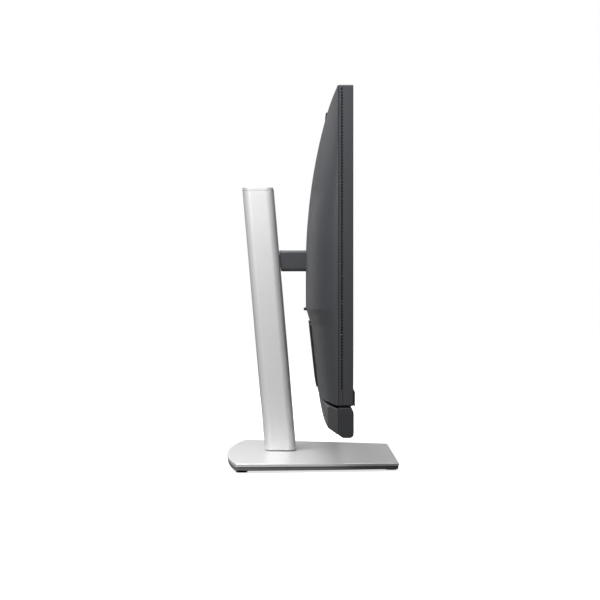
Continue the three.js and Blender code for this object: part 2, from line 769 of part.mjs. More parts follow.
// Strip under the screen, proud of the frame.
function chinBezel() {
  const { halfWidth, bottom } = HEAD;
  return block(-halfWidth, halfWidth, -CHIN.proud, -GAP, bottom, CHIN.top);
}

function addShells(head) {
  addPiece(head, 'rear_cover', rearCover(), FINISH.darkPlastic);
  addPiece(head, 'front_frame', frontFrame(), FINISH.darkPlastic);
  addPiece(head, 'chin_bezel', chinBezel(), FINISH.darkPlastic);
}

// ---------------------------------------------------------------- screen and electronics

function addScreen(head) {
  const { halfWidth, bottom, top } = PANEL;
  const low = HEAD.bottom + HEAD.frameWall + 2;
  addPiece(head, 'lcd_panel', block(-halfWidth, halfWidth, 0.4, 2, bottom, top), FINISH.screen);
  addPiece(head, 'backlight_stack', block(-halfWidth, halfWidth, 2.3, 8, low, top), FINISH.diffuser);
  addPiece(head, 'panel_chassis', block(-halfWidth, halfWidth, 8.3, 10.3, low, top), FINISH.steel);
  for (const [name, [x0, x1, z0, z1]] of [['main_board', BOARD.main], ['power_board', BOARD.power]]) {
    addPiece(head, name, block(x0, x1, BOARD.front, BOARD.rear, z0, z1), FINISH.board);
  }
  const plateX = RECESS.halfWidth - 1;
  const plateOutline = roundedRectangle(-plateX, plateX, RECESS.bottom + 1, RECESS.top - 1, 5);
  addPiece(head, 'stand_plate', facing(plateOutline, RECESS.floor + GAP, 20, 4), FINISH.darkPlastic);
}

// Sockets of the connector panel: [name, x, clear width, clear height, tongue width, tongue height].
const SOCKETS = [
  ['power_inlet', -70, 27, 19, 0, 0],
  ['video_socket_left', -38, 15, 5.2, 11, 1.2],
  ['video_socket_right', -14, 16, 5.2, 12, 1.2],
  ['usb_socket_left', 10, 12.6, 5.4, 10, 1.8],
  ['usb_socket_right', 30, 12.6, 5.4, 10, 1.8],
  ['network_socket', 55, 12, 10, 0, 0],
];
const SOCKET = { z: -12, wall: 0.8, front: -15, rear: -1.2, floor: -12.5 };

// One socket: a box open to the rear, with its contact tongue inside.
function socketShell(clearWidth, clearHeight, tongueWidth, tongueHeight) {
  const { wall, front, rear, floor } = SOCKET;
  const x = clearWidth / 2;
  const z = clearHeight / 2;
  const shell = block(-x - wall, x + wall, front, rear, -z - wall, z + wall);
  const opened = cut(shell, block(-x, x, floor, 5, -z, z));
  if (tongueWidth === 0) {
    return opened;
  }
  const tongueX = tongueWidth / 2;
  const tongueZ = tongueHeight / 2;
  return join(opened, block(-tongueX, tongueX, floor - 1, rear - 1.5, -tongueZ, tongueZ));
}

// Three contact blades standing in the mains inlet.
function inletBlades() {
  const { front, floor, rear } = SOCKET;
  const tip = rear - 3;
  return [[-7, 1], [0, 5.5], [7, 1]].map(([x, z]) => block(x - 1, x + 1, front + 1, tip, z - 2, z + 2));
}

// Black panel that follows the tapering lower rear of the head and carries the sockets.
function buildConnectors() {
  const panel = new THREE.Group();
  const middle = (IO.bottom + IO.top) / 2;
  panel.position.set(0, coverDepth(0, middle) + IO.proud, middle);
  panel.rotation.x = -Math.atan(HEAD.taper);
  const half = (IO.top - IO.bottom) / 2 / Math.cos(Math.atan(HEAD.taper));
  let plate = facing(roundedRectangle(-IO.halfWidth, IO.halfWidth, -half, half, 3), -IO.thickness, 0, 4);
  for (const [, x, width, height] of SOCKETS) {
    const halfX = width / 2 + SOCKET.wall + GAP;
    const halfZ = height / 2 + SOCKET.wall + GAP;
    plate = cut(plate, block(x - halfX, x + halfX, -10, 10, SOCKET.z - halfZ, SOCKET.z + halfZ));
  }
  addPiece(panel, 'io_panel', plate, FINISH.blackPlastic);
  for (const [name, x, ...sizes] of SOCKETS) {
    let shell = socketShell(...sizes);
    if (name === 'power_inlet') {
      shell = join(shell, ...inletBlades());
    }
    addPiece(panel, name, shell, FINISH.steel).position.set(x, 0, SOCKET.z);
  }
  return panel;
}

// ---------------------------------------------------------------- speaker bar

// Outline of the grille in depth and height: round front edges, a flat base, a straight seam.
function grilleOutline() {
  const { top, bottom, front, topRadius, lowRadius, chamferStart, chamferAtSeam } = BAR;
  const seam = BAR.seam - GAP / 2;
  const shape = new THREE.Shape();
  shape.moveTo(chamferStart, bottom);
  shape.lineTo(seam, chamferAtSeam);
  shape.lineTo(seam, top);
  shape.lineTo(front + topRadius, top);
  shape.quadraticCurveTo(front, top, front, top - topRadius);
  shape.lineTo(front, bottom + lowRadius);
  shape.quadraticCurveTo(front, bottom, front + lowRadius, bottom);
  shape.lineTo(chamferStart, bottom);
  return shape;
}

// Outline of the housing in depth and height at the distance x from the middle: its rear swells there.
function housingProfile(x) {
  const { rear, bulge, footBulge, chamferAtSeam, rearFoot, topAtSeam, topAtRear, topMiddle } = BAR;
  const seam = BAR.seam + GAP / 2;
  const swell = 1 - (Math.abs(x) / BAR.halfWidth) ** 4;
  const rearTop = rear + bulge * swell;
  const topZ = topAtRear + (topMiddle - topAtRear) * swell;
  return [
    [seam, chamferAtSeam],
    [rear + footBulge * swell, rearFoot],
    [rearTop, topZ - 1],
    [rearTop - 1, topZ],
    [seam, topAtSeam],
  ];
}

// The housing as one closed solid, swept from end to end.
function housingSolid() {
  const stations = 16;
  const rings = [];
  for (let s = 0; s <= stations; s += 1) {
    const x = BAR.halfWidth * Math.sin(Math.PI * (s / stations - 0.5));
    rings.push(housingProfile(x).map(([y, z]) => [x, y, z]));
  }
  const count = rings[0].length;
  const indices = [];
  for (let s = 0; s < stations; s += 1) {
    for (let k = 0; k < count; k += 1) {
      const a = s * count + k;
      const b = s * count + (k + 1) % count;
      indices.push(a, b, b + count, a, b + count, a + count);
    }
  }
  const outline = rings[0].map(([, y, z]) => new THREE.Vector2(y, z));
  const last = stations * count;
  for (const [a, b, c] of THREE.ShapeUtils.triangulateShape(outline, [])) {
    indices.push(a, c, b, last + a, last + b, last + c);
  }
  const geometry = new THREE.BufferGeometry();
  geometry.setAttribute('position', new THREE.Float32BufferAttribute(rings.flat(2), 3));
  geometry.setIndex(indices);
  return geometry;
}

const keyPlaces = [
  ['mute_button', -1.5 * KEY.pitch],
  ['volume_down_button', -0.5 * KEY.pitch],
  ['volume_up_button', 0.5 * KEY.pitch],
  ['call_button', 1.5 * KEY.pitch],
];

function barHousing() {
  const { halfWidth, seam, wall } = BAR;
  const room = block(-halfWidth + wall, halfWidth - wall, seam - 5, 22.5, 62.6, 80);
  const brackets = [-BAR_BRACKET.x, BAR_BRACKET.x].map((x) => bracketBox(x, GAP));
  return cut(housingSolid(), room, ...brackets);
}

function barGrille() {
  const { halfWidth, wall } = BAR;
  const front = across(grilleOutline(), -halfWidth, halfWidth);
  const room = block(-halfWidth + wall, halfWidth - wall, 3, 40, 57, 80);
  const keyHoles = keyPlaces.map(([, x]) => rod('y', KEY.radius + 0.35, -10, 10, x, KEY.z));
  const brackets = [-BAR_BRACKET.x, BAR_BRACKET.x].map((x) => bracketBox(x, GAP));
  return cut(front, room, ...keyHoles, ...brackets);
}

// Loudspeaker about Z: a flared basket in front of its magnet.
function speakerUnit() {
  return turned([[0, 0], [6, 0], [6, 6], [9, 7], [9.6, 12], [9.6, 13.5], [8, 13.5], [2, 10], [0, 10]], 24);
}

function addBar(head) {
  addPiece(head, 'bar_housing', barHousing(), FINISH.greyPlastic);
  addPiece(head, 'bar_grille', barGrille(), FINISH.fabric);
  for (const [side, sign] of [['left', -1], ['right', 1]]) {
    const bracket = bracketBox(sign * BAR_BRACKET.x, 0);
    addPiece(head, `bar_bracket_${side}`, bracket, FINISH.blackPlastic);
    const speaker = addPiece(head, `speaker_${side}`, speakerUnit(), FINISH.blackPlastic);
    speaker.rotation.x = Math.PI / 2;
    speaker.position.set(sign * SPEAKER.x, SPEAKER.y, SPEAKER.z);
  }
}

// ---------------------------------------------------------------- camera and buttons

function addWebcam(head) {
  const { halfWidth, front, rear, bottom, capTop, lensZ, lens } = WEBCAM;
  const guide = block(-halfWidth - 3, halfWidth + 3, front, rear - 0.3, bottom - 8, HEAD.top - HEAD.coverWall - 0.6);
  const channel = block(-halfWidth - GAP, halfWidth + GAP, 0, 40, bottom - 3, HEAD.top + 10);
  addPiece(head, 'webcam_guide', cut(guide, channel), FINISH.blackPlastic);
  const stem = block(-halfWidth, halfWidth, front, rear, bottom, HEAD.top + 2);
  const cap = WEBCAM_CAP;
  const lid = block(-cap.halfWidth, cap.halfWidth, cap.front, cap.rear, HEAD.top + GAP, capTop);
  const socket = rod('y', lens + GAP, 0, front + 3, 0, lensZ);
  addPiece(head, 'webcam_housing', cut(join(stem, lid), socket), FINISH.blackPlastic);
  addPiece(head, 'webcam_lens', rod('y', lens, front + 0.2, front + 2.7, 0, lensZ), FINISH.glass);
}

function addButtons(head) {
  const { halfWidth, z, halfHeight, proud } = RELEASE;
  const releaseShape = roundedRectangle(-halfWidth, halfWidth, z - halfHeight, z + halfHeight, 1.5);
  const releaseRear = HEAD.crownDepth + proud;
  addPiece(head, 'release_button', facing(releaseShape, releaseRear - 12, releaseRear, 4), FINISH.blackPlastic);
  const power = rod('y', POWER.radius, POWER.rear - 9, POWER.rear, POWER.x, POWER.z);
  addPiece(head, 'power_button', power, FINISH.blackPlastic);
  for (const [name, x] of keyPlaces) {
    addPiece(head, name, rod('y', KEY.radius, KEY.front, KEY.front + 7, x, KEY.z), FINISH.greyPlastic);
  }
}

function buildHead() {
  const head = new THREE.Group();
  head.position.y = HEAD.frontY;
  addShells(head);
  addScreen(head);
  head.add(buildConnectors());
  addBar(head);
  addWebcam(head);
  addButtons(head);
  return head;
}

// ---------------------------------------------------------------- assembly

const monitor = new THREE.Group();
monitor.add(buildBase(), buildColumn(), buildCarriage(), buildTilt(), buildHead());

export default monitor;
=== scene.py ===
"""Blender scene of the desktop monitor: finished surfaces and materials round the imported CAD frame.

Lengths are millimetres in the functions below and metres in Blender; MM converts them.
Depths on the head run back from its front face, as they do in the CAD source.
"""

import math

import bmesh
import bpy
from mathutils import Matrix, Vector


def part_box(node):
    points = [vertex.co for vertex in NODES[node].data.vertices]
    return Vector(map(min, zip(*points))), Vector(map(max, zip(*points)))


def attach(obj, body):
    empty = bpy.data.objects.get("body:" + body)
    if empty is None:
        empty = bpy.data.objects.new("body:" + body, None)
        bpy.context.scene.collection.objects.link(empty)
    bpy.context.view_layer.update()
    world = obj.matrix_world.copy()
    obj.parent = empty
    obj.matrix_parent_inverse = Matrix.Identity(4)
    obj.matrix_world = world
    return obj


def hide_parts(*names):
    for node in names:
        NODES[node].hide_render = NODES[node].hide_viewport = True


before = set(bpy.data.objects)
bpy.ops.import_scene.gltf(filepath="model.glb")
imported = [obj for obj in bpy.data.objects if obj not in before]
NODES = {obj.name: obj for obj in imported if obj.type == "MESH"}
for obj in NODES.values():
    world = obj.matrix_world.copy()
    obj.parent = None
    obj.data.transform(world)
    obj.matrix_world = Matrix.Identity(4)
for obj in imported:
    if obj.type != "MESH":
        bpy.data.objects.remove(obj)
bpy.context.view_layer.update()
MM = 0.001


# ---------------------------------------------------------------- sizes taken from the frame

def box_mm(node):
    """Lowest and highest corner of a CAD node in millimetres."""
    low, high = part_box(node)
    return Vector(low) / MM, Vector(high) / MM


FRAME_LOW, FRAME_HIGH = box_mm("front_frame")
CHIN_LOW, CHIN_HIGH = box_mm("chin_bezel")
PANEL_LOW, PANEL_HIGH = box_mm("lcd_panel")
BAR_LOW, BAR_HIGH = box_mm("bar_grille")
COLUMN_LOW, COLUMN_HIGH = box_mm("column_shell")
CAP_HIGH = box_mm("column_cap")[1]
BASE_LOW, BASE_HIGH = box_mm("base_cover")
TRAY_LOW = box_mm("base_tray")[0]
ARM_LOW, ARM_HIGH = box_mm("arm_cover")
IO_LOW, IO_HIGH = box_mm("io_panel")
WEBCAM_LOW, WEBCAM_HIGH = box_mm("webcam_housing")
RELEASE_LOW, RELEASE_HIGH = box_mm("release_button")
POWER_LOW, POWER_HIGH = box_mm("power_button")
BEARING_HIGH = box_mm("swivel_bearing")[1]

FRONT_Y = FRAME_LOW.y
HEAD_HALF = FRAME_HIGH.x
HEAD_BOTTOM = FRAME_LOW.z
HEAD_TOP = FRAME_HIGH.z
HEAD_CORNER = 1.5
FRAME_DEPTH = FRAME_HIGH.y - FRONT_Y
GAP = 0.3


# ---------------------------------------------------------------- mesh helpers

def new_object(name, vertices, faces):
    """A mesh object from points in millimetres."""
    mesh = bpy.data.meshes.new(name)
    mesh.from_pydata([(x * MM, y * MM, z * MM) for x, y, z in vertices], [], faces)
    mesh.validate()
    obj = bpy.data.objects.new(name, mesh)
    bpy.context.scene.collection.objects.link(obj)
    return obj


def freeze(obj):
    """Applies every modifier of an object."""
    graph = bpy.context.evaluated_depsgraph_get()
    graph.update()
    mesh = bpy.data.meshes.new_from_object(obj.evaluated_get(graph))
    obj.modifiers.clear()
    old = obj.data
    obj.data = mesh
    bpy.data.meshes.remove(old)


def carve(obj, *cutters, operation="DIFFERENCE"):
    """Cuts the other objects out of one, and deletes them."""
    for cutter in cutters:
        modifier = obj.modifiers.new("carve", "BOOLEAN")
        modifier.object = cutter
        modifier.operation = operation
        modifier.solver = "EXACT"
    freeze(obj)
    for cutter in cutters:
        bpy.data.objects.remove(cutter)
    return obj


def recalculate(obj):
    """Turns every face of a closed mesh outward."""
    mesh = bmesh.new()
    mesh.from_mesh(obj.data)
    bmesh.ops.remove_doubles(mesh, verts=mesh.verts, dist=0.004 * MM)
    bmesh.ops.recalc_face_normals(mesh, faces=mesh.faces)
    mesh.to_mesh(obj.data)
    mesh.free()
    return obj


def soften(obj, width=0.4, angle=35, segments=2):
    """A small rounded edge where faces meet at more than an angle."""
    modifier = obj.modifiers.new("soft_edges", "BEVEL")
    modifier.width = width * MM
    modifier.segments = segments
    modifier.limit_method = "ANGLE"
    modifier.angle_limit = math.radians(angle)
    modifier.harden_normals = False
    return obj


def shade(obj, angle=32, weighted=True):
    """Smooth shading that stays flat on flat faces and breaks at sharp edges."""
    for polygon in obj.data.polygons:
        polygon.use_smooth = True
    obj.data.set_sharp_from_angle(angle=math.radians(angle))
    if weighted:
        modifier = obj.modifiers.new("even_normals", "WEIGHTED_NORMAL")
        modifier.keep_sharp = True
        modifier.weight = 60
    return obj


def arc(cx, cy, radius, start, end, steps):
    """Points on an arc, angles in degrees."""
    points = []
    for i in range(steps + 1):
        angle = math.radians(start + (end - start) * i / steps)
        points.append((cx + radius * math.cos(angle), cy + radius * math.sin(angle)))
    return points


def rounded_rectangle(x0, x1, y0, y1, radius, steps=6):
    """Anticlockwise outline of a rectangle with round corners."""
    return (
        arc(x1 - radius, y0 + radius, radius, -90, 0, steps)
        + arc(x1 - radius, y1 - radius, radius, 0, 90, steps)
        + arc(x0 + radius, y1 - radius, radius, 90, 180, steps)
        + arc(x0 + radius, y0 + radius, radius, 180, 270, steps)
    )


def rounded_polygon(corners, steps=5):
    """Outline through corners given as (x, y, radius), each corner rounded."""
    points = []
    count = len(corners)
    for i, (x, y, radius) in enumerate(corners):
        here = Vector((x, y))
        before = Vector(corners[i - 1][:2]) - here
        after = Vector(corners[(i + 1) % count][:2]) - here
        if radius <= 0:
            points.append((x, y))
            continue
        half = before.angle(after) / 2
        reach = min(radius / math.tan(half), before.length * 0.499, after.length * 0.499)
        start = here + before.normalized() * reach
        end = here + after.normalized() * reach
        for k in range(steps + 1):
            t = k / steps
            point = start * (1 - t) ** 2 + here * (2 * t * (1 - t)) + end * t ** 2
            points.append((point.x, point.y))
    return points


def quadratic(start, control, end, steps):
    """Points on a quadratic curve, without its first point."""
    points = []
    for i in range(1, steps + 1):
        t = i / steps
        points.append(tuple(
            start[k] * (1 - t) ** 2 + control[k] * 2 * t * (1 - t) + end[k] * t ** 2 for k in range(2)
        ))
    return points


def loft(name, rings, caps=True, closed=False):
    """Skins closed rings of equal length; caps the ends, or joins the last ring to the first."""
    count = len(rings[0])
    vertices = [point for ring in rings for point in ring]
    faces = []
    last = len(rings) if closed else len(rings) - 1
    for r in range(last):
        a = r * count
        b = ((r + 1) % len(rings)) * count
        for i in range(count):
            j = (i + 1) % count
            faces.append((a + i, a + j, b + j, b + i))
    if caps and not closed:
        faces.append(tuple(range(count - 1, -1, -1)))
        top = (len(rings) - 1) * count
        faces.append(tuple(top + i for i in range(count)))
    return recalculate(new_object(name, vertices, faces))


def prism_y(name, outline, y0, y1):
    """An outline in x and height (z), extruded back."""
    return loft(name, [[(x, y, z) for x, z in outline] for y in (y0, y1)])


def prism_z(name, outline, z0, z1):
    """An outline in x and y, extruded up."""
    return loft(name, [[(x, y, z) for x, y in outline] for z in (z0, z1)])


def box_object(name, x0, x1, y0, y1, z0, z1):
    """A plain box with sharp edges."""
    return prism_z(name, [(x0, y0), (x1, y0), (x1, y1), (x0, y1)], z0, z1)


def circle(cx, cy, radius, steps=32):
    """Points round a circle."""
    return arc(cx, cy, radius, 0, 360 * (steps - 1) / steps, steps - 1)


def rod(name, axis, radius, start, end, u, v, steps=32):
    """A round bar along an axis between two ends."""
    ring = circle(0, 0, radius, steps)
    rings = []
    for along in (start, end):
        if axis == "x":
            rings.append([(along, u + a, v + b) for a, b in ring])
        elif axis == "y":
            rings.append([(u + a, along, v + b) for a, b in ring])
        else:
            rings.append([(u + a, v + b, along) for a, b in ring])
    return loft(name, rings)


def lathe(name, profile, axis, origin, steps=40):
    """A turned piece: profile of (radius, along) pairs about an axis through origin."""
    ox, oy, oz = origin
    rings = []
    for radius, along in profile:
        ring = circle(0, 0, max(radius, 0.01), steps)
        if axis == "x":
            rings.append([(ox + along, oy + a, oz + b) for a, b in ring])
        elif axis == "y":
            rings.append([(ox + a, oy + along, oz + b) for a, b in ring])
        else:
            rings.append([(ox + a, oy + b, oz + along) for a, b in ring])
    return loft(name, rings)


def finish_piece(obj, material, body, *replaced, slot=None, angle=32, weighted=True):
    """Gives a piece its material, its shading and the body that it rides on."""
    obj.data.materials.clear()
    obj.data.materials.append(material)
    shade(obj, angle, weighted)
    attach(obj, body)
    if replaced:
        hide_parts(*replaced)
    return obj


# ---------------------------------------------------------------- materials

def new_material(name, roughness=0.5, metallic=0.0, **sockets):
    """A Principled material; sockets are set on the shader itself."""
    material = bpy.data.materials.new(name)
    material.use_nodes = True
    tree = material.node_tree
    shader = tree.nodes["Principled BSDF"]
    shader.inputs["Roughness"].default_value = roughness
    shader.inputs["Metallic"].default_value = metallic
    for socket, value in sockets.items():
        shader.inputs[socket.replace("_", " ")].default_value = value
    return material, tree, shader


def node(tree, kind, **settings):
    """Adds a node and sets its properties and, by socket name, its inputs."""
    added = tree.nodes.new(kind)
    for key, value in settings.items():
        if hasattr(added, key):
            setattr(added, key, value)
        else:
            added.inputs[key.replace("_", " ")].default_value = value
    return added


def place(tree):
    """Position on the object in metres."""
    return node(tree, "ShaderNodeTexCoord").outputs["Object"]


def noise(tree, scale, detail=3.0, stretch=None):
    """Noise with features of about 1/scale metres, stretched along an axis where asked."""
    vector = place(tree)
    if stretch is not None:
        mapping = node(tree, "ShaderNodeMapping")
        mapping.inputs["Scale"].default_value = stretch
        tree.links.new(vector, mapping.inputs["Vector"])
        vector = mapping.outputs["Vector"]
    texture = node(tree, "ShaderNodeTexNoise")
    texture.inputs["Scale"].default_value = scale
    texture.inputs["Detail"].default_value = detail
    tree.links.new(vector, texture.inputs["Vector"])
    return texture.outputs["Fac"]


def math_node(tree, operation, first, second=None):
    """A Math node fed by sockets or numbers."""
    made = node(tree, "ShaderNodeMath", operation=operation)
    for index, value in enumerate((first, second)):
        if value is None:
            continue
        if isinstance(value, (int, float)):
            made.inputs[index].default_value = value
        else:
            tree.links.new(value, made.inputs[index])
    return made.outputs[0]


def ramp(tree, factor, stops):
    """A colour ramp: stops of (position, colour)."""
    made = node(tree, "ShaderNodeValToRGB")
    elements = made.color_ramp.elements
    while len(elements) < len(stops):
        elements.new(0.5)
    for element, (position, colour) in zip(elements, stops):
        element.position = position
        element.color = (*colour, 1.0)
    tree.links.new(factor, made.inputs["Fac"])
    return made.outputs["Color"]


def span(tree, factor, low, high, from_low=0.3, from_high=0.7):
    """A factor mapped from its usual range to low...high."""
    made = node(tree, "ShaderNodeMapRange")
    made.inputs["From Min"].default_value = from_low
    made.inputs["From Max"].default_value = from_high
    made.inputs["To Min"].default_value = low
    made.inputs["To Max"].default_value = high
    tree.links.new(factor, made.inputs["Value"])
    return made.outputs["Result"]


def bump(tree, shader, height, distance, strength=1.0):
    """Relief of a real depth in metres."""
    made = node(tree, "ShaderNodeBump")
    made.inputs["Strength"].default_value = strength
    made.inputs["Distance"].default_value = distance
    tree.links.new(height, made.inputs["Height"])
    tree.links.new(made.outputs["Normal"], shader.inputs["Normal"])


def tinted(colour, amount):
    """A colour made lighter or darker by a share."""
    return tuple(min(1.0, channel * (1 + amount)) for channel in colour)


def moulded_plastic(name, colour, roughness, grain=1500, depth=0.018, spread=0.05, **sockets):
    """Injection-moulded plastic with an eroded grain and slight cloudiness."""
    material, tree, shader = new_material(name, roughness, **sockets)
    cloud = noise(tree, 22, 4)
    tone = ramp(tree, cloud, [(0.3, tinted(colour, -spread)), (0.7, tinted(colour, spread))])
    tree.links.new(tone, shader.inputs["Base Color"])
    fine = noise(tree, grain, 2)
    tree.links.new(span(tree, fine, roughness - 0.04, roughness + 0.04), shader.inputs["Roughness"])
    bump(tree, shader, fine, depth * MM)
    return material


def satin_paint(name, colour, roughness, metallic, **sockets):
    """Silver paint with fine metal flakes under a satin surface."""
    material, tree, shader = new_material(name, roughness, metallic, **sockets)
    flakes = noise(tree, 260, 2)
    tone = ramp(tree, flakes, [(0.35, tinted(colour, -0.012)), (0.65, tinted(colour, 0.012))])
    tree.links.new(tone, shader.inputs["Base Color"])
    cloud = noise(tree, 30, 3)
    tree.links.new(span(tree, cloud, roughness - 0.01, roughness + 0.01), shader.inputs["Roughness"])
    return material


def brushed_metal(name, colour, roughness, stretch=(1, 40, 40)):
    """Steel with fine drawn lines."""
    material, tree, shader = new_material(name, roughness, 1.0)
    lines = noise(tree, 60, 4, stretch)
    tone = ramp(tree, lines, [(0.3, tinted(colour, -0.12)), (0.7, tinted(colour, 0.08))])
    tree.links.new(tone, shader.inputs["Base Color"])
    tree.links.new(span(tree, lines, roughness - 0.08, roughness + 0.1), shader.inputs["Roughness"])
    bump(tree, shader, lines, 0.01 * MM)
    return material


def cast_metal(name, colour, roughness):
    """Die-cast aluminium with its pebbled skin."""
    material, tree, shader = new_material(name, roughness, 0.9)
    cloud = noise(tree, 60, 5)
    tone = ramp(tree, cloud, [(0.3, tinted(colour, -0.15)), (0.7, tinted(colour, 0.1))])
    tree.links.new(tone, shader.inputs["Base Color"])
    pebbles = noise(tree, 900, 3)
    tree.links.new(span(tree, pebbles, roughness - 0.08, roughness + 0.12), shader.inputs["Roughness"])
    bump(tree, shader, pebbles, 0.05 * MM)
    return material


def rubber(name, colour):
    """Matt rubber with dust in its pores."""
    material, tree, shader = new_material(name, 0.88)
    pores = noise(tree, 700, 4)
    tone = ramp(tree, pores, [(0.3, tinted(colour, -0.3)), (0.75, tinted(colour, 0.35))])
    tree.links.new(tone, shader.inputs["Base Color"])
    bump(tree, shader, pores, 0.05 * MM)
    return material


def speaker_cloth(name, dark, light, pitch=0.85):
    """Woven acoustic cloth: two sets of threads that cross, on faces of any direction."""
    material, tree, shader = new_material(name, 0.86, Sheen_Weight=0.18, Sheen_Roughness=0.5)
    split = node(tree, "ShaderNodeSeparateXYZ")
    tree.links.new(place(tree), split.inputs[0])
    x, y, z = split.outputs
    turns = 2 * math.pi / (pitch * MM)
    warp_place = math_node(tree, "ADD", x, y)
    weft_place = math_node(tree, "ADD", z, y)
    warp = math_node(tree, "SINE", math_node(tree, "MULTIPLY", warp_place, turns))
    weft = math_node(tree, "SINE", math_node(tree, "MULTIPLY", weft_place, turns))
    weave = math_node(tree, "MULTIPLY", warp, weft)
    height = span(tree, weave, 0.0, 1.0, -1.0, 1.0)
    fibres = noise(tree, 4000, 2)
    mixed = math_node(tree, "ADD", height, math_node(tree, "MULTIPLY", fibres, 0.5))
    tone = ramp(tree, mixed, [(0.1, dark), (1.0, light)])
    tree.links.new(tone, shader.inputs["Base Color"])
    bump(tree, shader, mixed, 0.09 * MM)
    return material


def circuit_board(name):
    """Solder mask over copper traces."""
    material, tree, shader = new_material(name, 0.35)
    lines = node(tree, "ShaderNodeTexVoronoi", feature="DISTANCE_TO_EDGE", distance="CHEBYCHEV")
    lines.inputs["Scale"].default_value = 160
    tree.links.new(place(tree), lines.inputs["Vector"])
    tone = ramp(tree, lines.outputs["Distance"], [
        (0.05, (0.03, 0.16, 0.06)), (0.12, (0.008, 0.055, 0.02)),
    ])
    tree.links.new(tone, shader.inputs["Base Color"])
    bump(tree, shader, lines.outputs["Distance"], 0.03 * MM)
    return material


def screen_surface(name, low, high, border):
    """Anti-glare film over the panel: a black border round the picture area with its pixel grid."""
    material, tree, shader = new_material(name, 0.33, IOR=1.49, Coat_Weight=0.25, Coat_Roughness=0.3)
    split = node(tree, "ShaderNodeSeparateXYZ")
    tree.links.new(place(tree), split.inputs[0])
    x, _, z = split.outputs
    middle = (low.z + high.z) / 2 * MM
    reach_x = (high.x - border) * MM
    reach_z = ((high.z - low.z) / 2 - border) * MM
    from_x = math_node(tree, "SUBTRACT", math_node(tree, "ABSOLUTE", x), reach_x)
    offset_z = math_node(tree, "ABSOLUTE", math_node(tree, "SUBTRACT", z, middle))
    from_z = math_node(tree, "SUBTRACT", offset_z, reach_z)
    outside = math_node(tree, "MAXIMUM", from_x, from_z)
    tone = ramp(tree, span(tree, outside, 0.0, 1.0, -0.1 * MM, 0.1 * MM), [
        (0.0, (0.0125, 0.013, 0.0145)), (1.0, (0.004, 0.004, 0.0045)),
    ])
    tree.links.new(tone, shader.inputs["Base Color"])
    haze = noise(tree, 5200, 1)
    tree.links.new(span(tree, haze, 0.3, 0.37), shader.inputs["Roughness"])
    bump(tree, shader, haze, 0.006 * MM)
    return material


def lens_glass(name, centre):
    """Camera glass: a dark pupil inside coated rings."""
    material, tree, shader = new_material(name, 0.06, IOR=1.52, Coat_Weight=1.0, Coat_Roughness=0.03)
    offset = node(tree, "ShaderNodeVectorMath", operation="DISTANCE")
    offset.inputs[1].default_value = centre
    tree.links.new(place(tree), offset.inputs[0])
    radius = span(tree, offset.outputs["Value"], 0.0, 1.0, 0.0, 5.2 * MM)
    tone = ramp(tree, radius, [
        (0.0, (0.002, 0.002, 0.004)), (0.28, (0.004, 0.003, 0.012)), (0.34, (0.03, 0.02, 0.06)),
        (0.42, (0.006, 0.006, 0.008)), (0.75, (0.012, 0.012, 0.014)), (1.0, (0.002, 0.002, 0.002)),
    ])
    tree.links.new(tone, shader.inputs["Base Color"])
    return material


DARK = (0.045, 0.0465, 0.0515)
MAT = {
    "satin_silver": satin_paint("satin_silver", (0.80, 0.80, 0.805), 0.34, 0.45),
    "dark_shell": moulded_plastic("dark_shell", DARK, 0.42),
    "tray_plastic": moulded_plastic("tray_plastic", (0.16, 0.162, 0.168), 0.45),
    "bar_shell": moulded_plastic("bar_shell", (0.062, 0.063, 0.066), 0.42),
    "grey_plastic": moulded_plastic("grey_plastic", (0.085, 0.086, 0.09), 0.5),
    "key_plastic": moulded_plastic("key_plastic", (0.09, 0.091, 0.095), 0.4, depth=0.01),
    "black_plastic": moulded_plastic("black_plastic", (0.011, 0.011, 0.012), 0.45, grain=1100, depth=0.02),
    # Near-black plastic for the sheet behind the vents: painted shade in the vent holes.
    "vent_shade_black": moulded_plastic("vent_shade_black", (0.003, 0.003, 0.003), 0.8, grain=900, depth=0.03),
    "speaker_cloth": speaker_cloth("speaker_cloth", (0.007, 0.007, 0.008), (0.03, 0.031, 0.034)),
    "foot_rubber": rubber("foot_rubber", (0.02, 0.02, 0.02)),
    "steel": brushed_metal("steel", (0.55, 0.56, 0.57), 0.3),
    "socket_steel": brushed_metal("socket_steel", (0.62, 0.62, 0.61), 0.26, (40, 1, 40)),
    "cast_aluminium": cast_metal("cast_aluminium", (0.62, 0.63, 0.64), 0.42),
    "diffuser": moulded_plastic("diffuser", (0.78, 0.78, 0.76), 0.5, depth=0.004),
    "circuit_board": circuit_board("circuit_board"),
    "screen_film": screen_surface("screen_film", PANEL_LOW, PANEL_HIGH, 2.1),
    "lens_glass": lens_glass("lens_glass", Vector((0, WEBCAM_LOW.y, 394)) * MM),
}


# ---------------------------------------------------------------- base

BASE_BEVEL = 0.8
BASE_FRONT_HALF = 108.0
BASE_CORNER_Y = 82.8
BASE_CORNER = 3.0
BASE_EDGE_TOP = 10.15
BASE_CROWN = 3.6
BASE_CROWN_Y = 35.0
COVER_BOTTOM = 7.0
TRAY_BOTTOM = 2.75
TRAY_SLOPE = 0.007
COVER_SLOPE = 0.009
TOP_SLOPE = 0.0125
FEET = ("foot_front_left", "foot_front_right", "foot_rear_left", "foot_rear_right")
FOOT_CORNER = 4
FOOT_EDGE = 0.6


